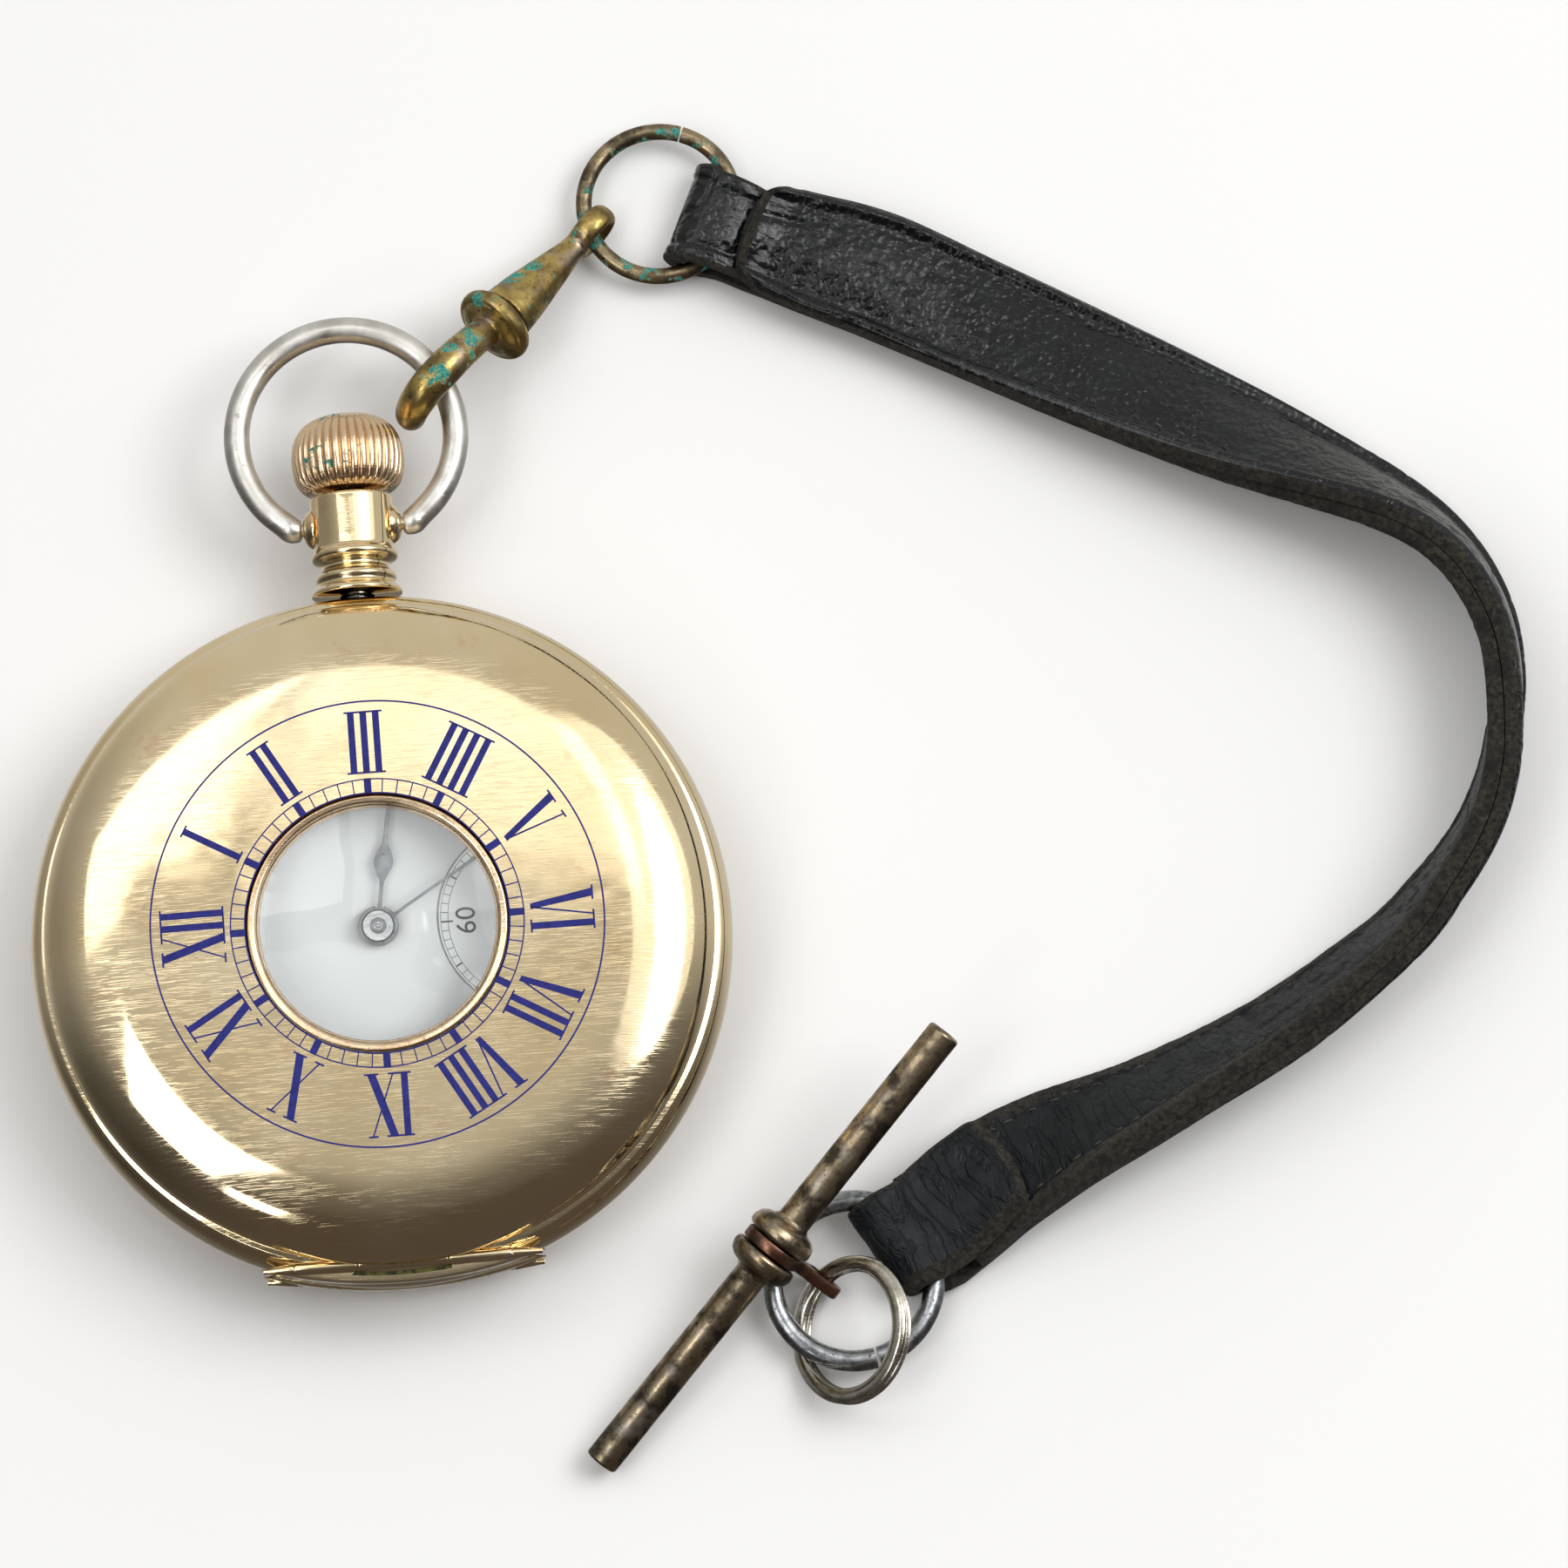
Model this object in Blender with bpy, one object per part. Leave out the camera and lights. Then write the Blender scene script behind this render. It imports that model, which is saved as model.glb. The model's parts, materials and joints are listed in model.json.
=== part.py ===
"""Half-hunter pocket watch with its albert strap, as an assembly of separate pieces.

Sizes are in millimetres and add() turns them into metres. The watch lies on its back cover:
+Z goes from the back cover to the front cover, +Y from the case centre to the pendant, and the
origin is where the case axis meets the surface that the watch lies on.
"""

import math

import bmesh
import bpy
from mathutils import Matrix, Vector

MM = 0.001

# Case
CASE_RADIUS = 26.0
CASE_HEIGHT = 14.0
COVER_RADIUS = 24.75
COVER_SKIN = 0.55
SEAM = 0.25
BAND_HALF = 2.5
BAND_EDGE_RADIUS = 25.0
BAND_INNER_RADIUS = 22.0
MID_Z = CASE_HEIGHT / 2
WINDOW_HOLE_RADIUS = 9.75
WINDOW_RADIUS = 8.92

# Case hinges, one for each cover, both on the side opposite the pendant
HINGE_Y = -24.5
HINGE_LIFT = BAND_HALF + SEAM
HINGE_HALF_LENGTH = 10.2
HINGE_KNUCKLE_HALF = 3.3
KNUCKLE_RADIUS = 0.5
PIN_RADIUS = 0.24
RUNNING_GAP = 0.06
CUVETTE_HINGE_Y = -23.1
CUVETTE_RIM = 4.2

# Pendant, crown and bow
PENDANT_START = 26.15
PENDANT_END = 33.7
PENDANT_RADIUS = 3.1
STEM_BORE = 1.3
STEM_RADIUS = 0.8
CROWN_START = 34.1
CROWN_END = 40.1
CROWN_RADIUS = 4.22
CROWN_RIBS = 26
BOW_CENTRE_Y = 38.5
BOW_RADIUS = 8.2
BOW_WIRE = 1.05
BOW_PIVOT_Y = 31.5
BOW_BUSH_FACE = 3.7

# Movement
PLATE_RADIUS = 21.6
PLATE_BOTTOM = 6.9
PLATE_TOP = 8.6
BRIDGE_RADIUS = 20.8
BRIDGE_BOTTOM = 3.0
BRIDGE_TOP = 4.5
MESH_GAP = 0.06
DIAL_RADIUS = 21.2
DIAL_BOTTOM = 8.75
DIAL_TOP = 9.15
SECONDS_OFFSET = 11.1
SECONDS_RADIUS = 6.9
BALANCE_AT = (4.5, -12.5)
BALANCE_RADIUS = 7.3
BARREL_AT = (-8.97, 3.27)
BARREL_RADIUS = 8.2
THIRD_AT = (6.24, 5.24)
ESCAPE_AT = (12.75, -6.05)
PALLET_AT = (9.75, -8.4)
CROWN_WHEEL_AT = (-3.0, 13.0)
CLICK_AT = (-16.9, 0.6)
HOUR_HAND_TURN = 8.5
MINUTE_HAND_TURN = 58.5

# Albert: swivel clip, rings, strap and T-bar
CLIP_AT = (11.72, 46.46, 6.15)
CLIP_HEADING = 45.0
CLIP_DROP = 19.7
EYE_REACH = 11.6
FOB_RING_AT = (24.75, 56.0, 2.07)
FOB_RING_RADIUS = 5.73
FOB_RING_WIRE = 0.63
STRAP_WIDTH = 9.3
PLY = 1.15
PLY_OFFSET = 0.63
STRAP_RING_AT = (32.9, -27.4, 2.15)
STRAP_RING_RADIUS = 6.1
STRAP_RING_WIRE = 0.74
SPLIT_RING_AT = (32.4, -31.3, 4.0)
SPLIT_RING_RADIUS = 5.0
SPLIT_RING_TILT = 42.0
T_BAR_AT = (27.07, -25.0, 5.72)
T_BAR_HEADING = 46.0
T_BAR_RISE = 11.5
T_BAR_RADIUS = 1.28
TAB_TURN = -43.3
TAB_REACH = 5.37

STRAP_STEPS = 2

# Centre line of the strap: x, y and the roll in degrees, 0 where its face ply is up, 90 on edge
STRAP_ROUTE = (
    (31.8, 52.8, 0), (36.0, 50.9, 0), (41.0, 48.7, 3), (46.3, 45.8, 8), (51.5, 42.8, 14),
    (57.5, 39.3, 22), (66.6, 34.1, 36), (72.5, 30.8, 50), (77.0, 28.2, 60), (80.4, 25.6, 67),
    (82.8, 22.6, 72), (84.3, 19.2, 76), (84.9, 16.0, 80), (84.9, 13.0, 83), (84.5, 10.0, 87),
    (83.9, 7.3, 91), (82.5, 3.8, 96), (80.6, 0.8, 100), (78.1, -2.1, 104), (74.9, -5.3, 109),
    (66.8, -10.8, 117), (60.1, -14.1, 122), (53.8, -16.8, 132), (48.9, -18.6, 146),
    (44.1, -20.75, 163), (40.0, -23.3, 178), (37.15, -24.95, 180),
)

COLOURS = {
    "gold": ((0.83, 0.62, 0.32), 0.16, 1.0),
    "rose_gold": ((0.78, 0.52, 0.34), 0.25, 1.0),
    "nickel_silver": ((0.62, 0.60, 0.55), 0.32, 1.0),
    "nickel": ((0.72, 0.71, 0.68), 0.28, 1.0),
    "brass": ((0.70, 0.52, 0.24), 0.30, 1.0),
    "steel": ((0.45, 0.46, 0.47), 0.25, 1.0),
    "blued_steel": ((0.10, 0.12, 0.20), 0.25, 1.0),
    "old_brass": ((0.42, 0.33, 0.16), 0.42, 1.0),
    "old_bronze": ((0.30, 0.25, 0.17), 0.45, 1.0),
    "copper": ((0.40, 0.20, 0.13), 0.40, 1.0),
    "enamel": ((0.90, 0.90, 0.88), 0.12, 0.0),
    "glass": ((0.95, 0.97, 0.98), 0.03, 0.0),
    "leather": ((0.02, 0.02, 0.022), 0.38, 0.0),
}


def clear_scene():
    for obj in list(bpy.data.objects):
        bpy.data.objects.remove(obj, do_unlink=True)


def material(name):
    """The Principled material of this finish, made once."""
    made = bpy.data.materials.get(name)
    if made:
        return made
    made = bpy.data.materials.new(name)
    made.use_nodes = True
    colour, roughness, metallic = COLOURS[name]
    shader = made.node_tree.nodes["Principled BSDF"]
    shader.inputs["Base Color"].default_value = (*colour, 1.0)
    shader.inputs["Roughness"].default_value = roughness
    shader.inputs["Metallic"].default_value = metallic
    made.diffuse_color = (*colour, 1.0)
    if name == "glass":
        shader.inputs["Transmission Weight"].default_value = 1.0
        shader.inputs["Alpha"].default_value = 0.35
    return made


def group(name):
    empty = bpy.data.objects.new(name, None)
    empty.empty_display_size = 10 * MM
    bpy.context.collection.objects.link(empty)
    return empty


def add(name, bm, finish, parent=None, origin=(0, 0, 0), frame=None):
    """Makes an object of a bmesh drawn in millimetres, with its origin on its own axis."""
    if frame is not None:
        bmesh.ops.transform(bm, matrix=frame, verts=bm.verts)
    bmesh.ops.translate(bm, verts=bm.verts, vec=-Vector(origin))
    bmesh.ops.scale(bm, verts=bm.verts, vec=(MM, MM, MM))
    bmesh.ops.recalc_face_normals(bm, faces=bm.faces)
    mesh = bpy.data.meshes.new(name)
    bm.to_mesh(mesh)
    bm.free()
    mesh.shade_smooth()
    mesh.set_sharp_from_angle(angle=math.radians(35))
    mesh.materials.append(material(finish))
    obj = bpy.data.objects.new(name, mesh)
    obj.location = Vector(origin) * MM
    obj.parent = parent
    bpy.context.collection.objects.link(obj)
    return obj


def boolean(obj, tool, operation):
    """Adds an exact Boolean whose tool is left out of the model."""
    tool.hide_render = True
    tool.display_type = "WIRE"
    change = obj.modifiers.new(f"{operation.lower()} {tool.name}", "BOOLEAN")
    change.operation = operation
    change.solver = "EXACT"
    change.object = tool


def turned(profile, ring=False, steps=64):
    """Spins a profile of (radius, height) about Z. A ring's profile is a closed outline."""
    bm = bmesh.new()
    verts = [bm.verts.new((radius, 0, height)) for radius, height in profile]
    edges = [bm.edges.new(pair) for pair in zip(verts, verts[1:])]
    if ring:
        edges.append(bm.edges.new((verts[-1], verts[0])))
    bmesh.ops.spin(
        bm, geom=verts + edges, cent=(0, 0, 0), axis=(0, 0, 1), angle=math.tau, steps=steps, use_merge=False
    )
    bmesh.ops.remove_doubles(bm, verts=bm.verts, dist=0.0005)
    bmesh.ops.recalc_face_normals(bm, faces=bm.faces)
    return bm


def tube(inner, outer, low, high, steps=24):
    return turned([(outer, high), (outer, low), (inner, low), (inner, high)], ring=True, steps=steps)


def rod(radius, low, high, steps=16):
    return turned([(0, high), (radius, high), (radius, low), (0, low)], steps=steps)


def extruded(outline, low, high, holes=()):
    """A flat plate between two heights, with its outline and holes given as lists of (x, y)."""
    bm = bmesh.new()
    for loop in (outline, *holes):
        verts = [bm.verts.new((x, y, low)) for x, y in loop]
        for a, b in zip(verts, verts[1:] + verts[:1]):
            bm.edges.new((a, b))
    bmesh.ops.triangle_fill(bm, use_beauty=True, use_dissolve=False, edges=bm.edges)
    made = bmesh.ops.extrude_face_region(bm, geom=bm.faces[:])
    raised = [item for item in made["geom"] if isinstance(item, bmesh.types.BMVert)]
    bmesh.ops.translate(bm, verts=raised, vec=(0, 0, high - low))
    bmesh.ops.recalc_face_normals(bm, faces=bm.faces)
    return bm


def arc(radius, start, end, count, centre=(0, 0)):
    """Points on an arc, with its angles in degrees."""
    angles = [math.radians(start + (end - start) * i / (count - 1)) for i in range(count)]
    return [(centre[0] + radius * math.cos(a), centre[1] + radius * math.sin(a)) for a in angles]


def circle(radius, count, centre=(0, 0)):
    return arc(radius, 0, 360, count + 1, centre)[:-1]


def swept(sections, slant=0):
    """Joins rings of points, all of one length, into a closed skin with flat ends.

    A slant of 1 or 2 also splits each side face along its first or second diagonal.
    """
    bm = bmesh.new()
    rings = [[bm.verts.new(point) for point in section] for section in sections]
    for first, second in zip(rings, rings[1:]):
        for i in range(len(first)):
            j = (i + 1) % len(first)
            a, b, c, d = first[i], first[j], second[j], second[i]
            if slant == 0:
                bm.faces.new((a, b, c, d))
            elif slant == 1:
                bm.faces.new((a, b, c))
                bm.faces.new((a, c, d))
            else:
                bm.faces.new((b, c, d))
                bm.faces.new((b, d, a))
    bm.faces.new(rings[0])
    bm.faces.new(rings[-1])
    bmesh.ops.recalc_face_normals(bm, faces=bm.faces)
    return bm


def wire_sections(path, radii, sides, up=Vector((0, 0, 1))):
    """Round sections along a path, for a wire whose radius may change on the way."""
    sections = []
    for i, point in enumerate(path):
        before = path[max(i - 1, 0)]
        after = path[min(i + 1, len(path) - 1)]
        along = (after - before).normalized()
        across = along.cross(up).normalized()
        over = across.cross(along).normalized()
        ring = []
        for k in range(sides):
            turn = math.tau * (k + 0.5) / sides
            ring.append(point + (across * math.cos(turn) + over * math.sin(turn)) * radii[i])
        sections.append(ring)
    return sections


def spline(points, per_span):
    """Catmull-Rom samples through points of any number of coordinates."""
    samples = []
    last = len(points) - 1
    for i in range(last):
        p0, p1, p2, p3 = (points[min(max(j, 0), last)] for j in (i - 1, i, i + 1, i + 2))
        for step in range(per_span):
            t = step / per_span
            samples.append(tuple(
                0.5 * (2 * b + (c - a) * t + (2 * a - 5 * b + 4 * c - d) * t**2 + (3 * b - a - 3 * c + d) * t**3)
                for a, b, c, d in zip(p0, p1, p2, p3)
            ))
    samples.append(tuple(points[-1]))
    return samples


def toothed(radius, depth, teeth):
    """Outline of a wheel with plain trapezoid teeth."""
    points = []
    for tooth in range(teeth):
        middle = math.tau * tooth / teeth
        for reach, offset in ((radius - depth, -0.32), (radius, -0.16), (radius, 0.16), (radius - depth, 0.32)):
            angle = middle + offset * math.tau / teeth
            points.append((reach * math.cos(angle), reach * math.sin(angle)))
    return points


def spoke_windows(inner, outer, spokes, spoke_width):
    """Sector openings between the spokes of a wheel."""
    windows = []
    for spoke in range(spokes):
        start = 360 / spokes * spoke
        far = math.degrees(spoke_width / 2 / outer)
        near = math.degrees(spoke_width / 2 / inner)
        rim = arc(outer, start + far, start + 360 / spokes - far, 4)
        hub = arc(inner, start + 360 / spokes - near, start + near, 2)
        windows.append(rim + hub)
    return windows


def at(x, y, z=0.0):
    return Matrix.Translation((x, y, z))


ALONG_X = Matrix.Rotation(math.radians(90), 4, "Y")
ALONG_Y = Matrix.Rotation(math.radians(-90), 4, "X")
FLIP = at(0, 0, CASE_HEIGHT) @ Matrix.Scale(-1, 4, (0, 0, 1))


# ---------------------------------------------------------------- case

def cover_profile(hole):
    """Outline of one cover's shell, front side, from its rim to the edge of its middle hole."""
    top = CASE_HEIGHT
    outside = [
        (24.6, top - 4.25), (COVER_RADIUS, top - 3.8), (24.5, top - 2.8), (23.6, top - 1.7),
        (21.9, top - 0.75), (19.4, top - 0.2), (16.0, top), (hole, top),
    ]
    inside = [
        (hole, top - COVER_SKIN), (17.0, top - COVER_SKIN), (20.4, top - 0.98), (22.8, top - 2.0),
        (23.9, top - 3.2), (24.05, top - 4.25),
    ]
    return outside, inside


def hinge_rod(radius, start, end, lift, steps=8):
    """A round bar on the hinge line, lift above or below the middle of the band."""
    bm = rod(radius, start, end, steps)
    bmesh.ops.transform(bm, matrix=at(0, HINGE_Y, MID_Z + lift) @ ALONG_X, verts=bm.verts)
    return bm


def add_hinge_knuckle(cover, name, lift, parent):
    """Gives a cover its middle knuckle, clears the band's knuckles and bores the pin hole."""
    knuckle = hinge_rod(KNUCKLE_RADIUS, -HINGE_KNUCKLE_HALF, HINGE_KNUCKLE_HALF, lift)
    for side in (-1, 1):
        ends = sorted((side * (HINGE_KNUCKLE_HALF + 0.05), side * (HINGE_HALF_LENGTH + 0.6)))
        clearance = add(f"{name}_clear_{side}", hinge_rod(KNUCKLE_RADIUS + 0.12, *ends, lift), "gold", parent)
        boolean(cover, clearance, "DIFFERENCE")
    boolean(cover, add(f"{name}_knuckle", knuckle, "gold", parent), "UNION")
    bore = hinge_rod(PIN_RADIUS + RUNNING_GAP, -12, 12, lift, 10)
    boolean(cover, add(f"{name}_bore", bore, "gold", parent), "DIFFERENCE")


def make_front_cover(parent):
    outside, inside = cover_profile(WINDOW_HOLE_RADIUS)
    origin = (0, HINGE_Y, MID_Z + HINGE_LIFT)
    cover = add("front_cover", turned(outside + inside, ring=True, steps=44), "gold", parent, origin)
    add_hinge_knuckle(cover, "front", HINGE_LIFT, parent)
    bezel = [(9.68, 13.25), (9.68, 13.98), (9.5, 14.05), (9.05, 13.78), (WINDOW_RADIUS, 13.5),
             (8.6, 13.45), (8.6, 13.2)]
    add("window_bezel", turned(bezel, ring=True, steps=28), "rose_gold", parent)
    glass = [(0, 14.15), (4.5, 14.08), (8.86, 13.72), (8.86, 13.53), (4.5, 13.72), (0, 13.8)]
    add("window_glass", turned(glass, steps=28), "glass", parent)


def make_back_cover(parent):
    outside, inside = cover_profile(0)
    origin = (0, HINGE_Y, MID_Z - HINGE_LIFT)
    bm = turned(outside[::-1] + inside[::-1], steps=44)
    bmesh.ops.transform(bm, matrix=FLIP, verts=bm.verts)
    cover = add("back_cover", bm, "gold", parent, origin)
    add_hinge_knuckle(cover, "back", -HINGE_LIFT, parent)


def make_cuvette(parent):
    """The dust cover between the back cover and the movement, with a hinge of its own."""
    outside = [(0, 1.3), (17.5, 1.35), (20.5, 1.9), (22.2, 3.0), (22.9, 4.2)]
    inside = [(22.5, 4.2), (21.8, 3.2), (20.2, 2.25), (17.4, 1.72), (0, 1.68)]
    origin = (0, CUVETTE_HINGE_Y, CUVETTE_RIM)
    cuvette = add("cuvette", turned(outside + inside, steps=32), "gold", parent, origin)
    lug = rod(0.4, -1.9, 1.9, 10)
    lug_tool = add("cuvette_lug", lug, "gold", parent, frame=at(*origin) @ ALONG_X)
    boolean(cuvette, lug_tool, "UNION")


def make_case_centre(parent):
    low = MID_Z - BAND_HALF
    high = MID_Z + BAND_HALF
    band = [
        (BAND_EDGE_RADIUS, low), (25.75, low + 1.1), (CASE_RADIUS, MID_Z),
        (25.75, high - 1.1), (BAND_EDGE_RADIUS, high), (23.6, high), (23.6, high - 0.6),
        (BAND_INNER_RADIUS, high - 0.6), (BAND_INNER_RADIUS, low + 0.6), (23.8, low + 0.6), (23.8, low),
    ]
    centre = add("case_centre", turned(band, ring=True, steps=48), "gold", parent)
    leaf = arc(33.7, -108.0, -72.0, 9, (0, 7.8)) + arc(83.5, 83.0, 97.0, 9, (0, -107.1))[1:-1]
    for side in (-1, 1):
        name = "front" if side > 0 else "back"
        ends = sorted((MID_Z + side * 1.2, MID_Z + side * (BAND_HALF - 0.08)))
        plate = add(f"hinge_leaf_{name}", extruded(leaf, *ends), "gold", parent)
        boolean(centre, plate, "UNION")
        for end in (-1, 1):
            span = sorted((end * (HINGE_KNUCKLE_HALF + 0.12), end * HINGE_HALF_LENGTH))
            bar = hinge_rod(KNUCKLE_RADIUS, *span, side * HINGE_LIFT)
            boolean(centre, add(f"band_knuckle_{name}_{end}", bar, "gold", parent), "UNION")
        groove = hinge_rod(0.85, -HINGE_KNUCKLE_HALF - 0.1, HINGE_KNUCKLE_HALF + 0.1, side * HINGE_LIFT)
        boolean(centre, add(f"hinge_groove_{name}", groove, "gold", parent), "DIFFERENCE")
        bore = hinge_rod(PIN_RADIUS + RUNNING_GAP, -12, 12, side * HINGE_LIFT, 10)
        boolean(centre, add(f"hinge_bore_{name}", bore, "gold", parent), "DIFFERENCE")
        pin = hinge_rod(PIN_RADIUS, -10.1, 10.1, side * HINGE_LIFT, 8)
        add(f"hinge_pin_{name}", pin, "gold", parent)
    stem_hole = rod(STEM_BORE, 20, 28, 16)
    boolean(centre, add("stem_hole", stem_hole, "gold", parent, frame=at(0, 0, MID_Z) @ ALONG_Y), "DIFFERENCE")
    lug_space = rod(0.55, -2.2, 2.2, 10)
    place = at(0, CUVETTE_HINGE_Y, CUVETTE_RIM) @ ALONG_X
    boolean(centre, add("lug_space", lug_space, "gold", parent, frame=place), "DIFFERENCE")


def make_crystal(parent):
    bezel = [(23.3, 9.15), (23.3, 9.9), (22.5, 10.7), (21.6, 11.15), (21.0, 11.15), (21.0, 10.4),
             (21.3, 9.15)]
    add("crystal_bezel", turned(bezel, ring=True, steps=32), "gold", parent)
    glass = [(0, 12.35), (13, 12.1), (20.9, 11.05), (20.9, 10.65), (13, 11.65), (0, 11.9)]
    add("crystal", turned(glass, steps=32), "glass", parent)


# ---------------------------------------------------------------- pendant, crown and bow

def make_pendant(parent):
    profile = [
        (STEM_BORE, PENDANT_START), (3.4, PENDANT_START), (2.75, 26.7), (3.05, 27.4), (2.9, 28.0),
        (2.4, 28.4), (2.6, 28.85), (3.2, 29.0), (3.0, 29.6), (PENDANT_RADIUS, 33.3), (3.0, PENDANT_END),
        (STEM_BORE, PENDANT_END),
    ]
    add("pendant", turned(profile, ring=True, steps=20), "gold", parent, frame=at(0, 0, MID_Z) @ ALONG_Y)
    for side, name in ((-1, "left"), (1, "right")):
        bush = [(0.62, 3.16), (1.5, 3.16), (1.5, 3.4), (1.25, 3.62), (0.95, BOW_BUSH_FACE), (0.62, BOW_BUSH_FACE)]
        bm = turned(bush, ring=True, steps=14)
        facing = ALONG_X if side > 0 else Matrix.Rotation(math.radians(-90), 4, "Y")
        add(f"bow_bush_{name}", bm, "gold", parent, frame=at(0, BOW_PIVOT_Y, MID_Z) @ facing)


def make_crown(parent):
    """An onion crown whose ribs run from its skirt to the middle of its top."""
    profile = [
        (3.1, CROWN_START), (3.8, 34.7), (4.15, 35.7), (CROWN_RADIUS, 36.8), (3.95, 38.2),
        (3.2, 39.3), (1.6, CROWN_END),
    ]
    bm = bmesh.new()
    steps = CROWN_RIBS * 2
    rings = []
    for radius, height in profile:
        ring = []
        for i in range(steps):
            angle = math.tau * i / steps
            reach = radius - (0.22 if i % 2 and radius > 2 else 0.0)
            ring.append(bm.verts.new((reach * math.cos(angle), reach * math.sin(angle), height)))
        rings.append(ring)
    for lower, upper in zip(rings, rings[1:]):
        for i in range(steps):
            j = (i + 1) % steps
            bm.faces.new((lower[i], lower[j], upper[j], upper[i]))
    bm.faces.new(rings[-1])
    bottom = bm.faces.new(rings[0])
    bmesh.ops.inset_region(bm, faces=[bottom], thickness=0.5)
    bmesh.ops.translate(bm, verts=bottom.verts, vec=(0, 0, 0.8))
    crown = add("crown", bm, "gold", parent, (0, CROWN_START, MID_Z), at(0, 0, MID_Z) @ ALONG_Y)
    socket = add("crown_socket", rod(STEM_RADIUS + 0.05, 34, 38, 12), "gold", parent, frame=at(0, 0, MID_Z) @ ALONG_Y)
    boolean(crown, socket, "DIFFERENCE")


def make_stem(parent):
    profile = [(0, 13.3), (0.55, 13.3), (0.55, 20.5), (STEM_RADIUS, 20.6), (STEM_RADIUS, 37.9), (0, 37.9)]
    add("winding_stem", turned(profile, steps=14), "steel", parent, (0, 0, MID_Z), at(0, 0, MID_Z) @ ALONG_Y)
    pinion = extruded(toothed(1.55, 0.35, 12), 14.2, 16.0, [circle(0.62, 12)])
    add("winding_pinion", pinion, "steel", parent, (0, 15, MID_Z), at(0, 0, MID_Z) @ ALONG_Y)


def make_bow(parent):
    path = []
    radii = []
    for x, reach in ((3.25, 0.5), (3.84, 0.5), (3.86, 0.8), (4.15, 0.92), (4.55, 1.0)):
        path.append(Vector((x, BOW_PIVOT_Y + max(x - 4.1, 0) * 0.3, MID_Z)))
        radii.append(reach)
    for i in range(23):
        angle = math.radians(-52 + (180 + 104) * i / 22)
        path.append(Vector((BOW_RADIUS * math.cos(angle), BOW_CENTRE_Y + BOW_RADIUS * math.sin(angle), MID_Z)))
        radii.append(BOW_WIRE)
    for point, reach in list(zip(path[:5], radii[:5]))[::-1]:
        path.append(Vector((-point.x, point.y, point.z)))
        radii.append(reach)
    bm = swept(wire_sections(path, radii, 8))
    add("bow", bm, "nickel_silver", parent, (0, BOW_PIVOT_Y, MID_Z))


# ---------------------------------------------------------------- movement

def make_plates(parent):
    rim = arc(PLATE_RADIUS, 96, 444, 32)
    notch = [(2.0, 12.8), (-2.0, 12.8)]
    holes = [circle(1.0, 12), circle(0.45, 8, (SECONDS_OFFSET, 0))]
    plate = extruded(rim + notch, PLATE_BOTTOM, PLATE_TOP, holes)
    add("main_plate", plate, "nickel", parent)
    barrel_side = arc(BRIDGE_RADIUS, 72, 200, 20) + [(-8.0, -4.3), (-2.6, 1.4), (2.6, 9.6)]
    train_side = arc(BRIDGE_RADIUS, -38, 66, 18) + [(3.7, 9.0), (-1.7, 0.7), (-1.3, -2.6), (5.5, -4.2), (11.4, -8.3)]
    cock = (
        arc(BRIDGE_RADIUS, 214, 244, 6)
        + arc(2.3, 226, 404, 9, BALANCE_AT)
        + [(-2.0, -9.6)]
    )
    outlines = (
        ("barrel_bridge", barrel_side, [circle(1.1, 10, BARREL_AT), circle(4.0, 20, CROWN_WHEEL_AT)],
         ((-17.6, 7.5), (-17.6, -4.4), (3.2, 18.4))),
        ("train_bridge", train_side, [circle(0.8, 10)], ((13.0, 13.2), (18.6, -5.8), (18.4, 4.6))),
        ("balance_cock", cock, [circle(0.5, 8, BALANCE_AT)], ((-10.6, -15.2),)),
    )
    for name, outline, holes, feet in outlines:
        bridge = add(name, extruded(outline, BRIDGE_BOTTOM, BRIDGE_TOP, holes), "nickel", parent)
        for number, (x, y) in enumerate(feet):
            foot = rod(1.3, BRIDGE_TOP - 0.3, PLATE_BOTTOM - 0.05, 12)
            boolean(bridge, add(f"{name}_foot_{number}", foot, "nickel", parent, frame=at(x, y)), "UNION")
            screw = [(0, BRIDGE_BOTTOM - 0.05), (0.9, BRIDGE_BOTTOM - 0.05), (0.9, 2.5), (0, 2.5)]
            add(f"{name}_screw_{number + 1}", turned(screw, steps=10), "blued_steel", parent, frame=at(x, y))


def make_wheel(name, place, radius, teeth, low, high, arbor, pinion, parent, finish="brass"):
    """A spoked train wheel on its arbor, with the pinion as (radius, leaves, low, high)."""
    windows = spoke_windows(1.3, radius - 1.5, 4, 0.7)
    wheel = add(name, extruded(toothed(radius, 0.5, teeth), low, high, windows), finish, parent, (*place, low),
                at(*place))
    arbor_radius, arbor_low, arbor_high = arbor
    staff = add(f"{name}_arbor", rod(arbor_radius, arbor_low, arbor_high, 8), "steel", parent, frame=at(*place))
    boolean(wheel, staff, "UNION")
    if pinion:
        reach, leaves, start, end = pinion
        leaf = extruded(toothed(reach, 0.3, leaves), start, end)
        boolean(wheel, add(f"{name}_pinion", leaf, "steel", parent, frame=at(*place)), "UNION")


def spiral_spring(start, growth, thickness, low, high, turns=3, steps=10):
    """A flat spring wound outwards from its inner radius."""
    sections = []
    for i in range(turns * steps + 1):
        angle = math.tau * i / steps
        radius = start + growth * i / (turns * steps)
        point = Vector((radius * math.cos(angle), radius * math.sin(angle), 0))
        out = point.normalized() * (thickness / 2)
        bottom = Vector((0, 0, low))
        top = Vector((0, 0, high))
        sections.append([point - out + bottom, point + out + bottom, point + out + top, point - out + top])
    return swept(sections)


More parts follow.
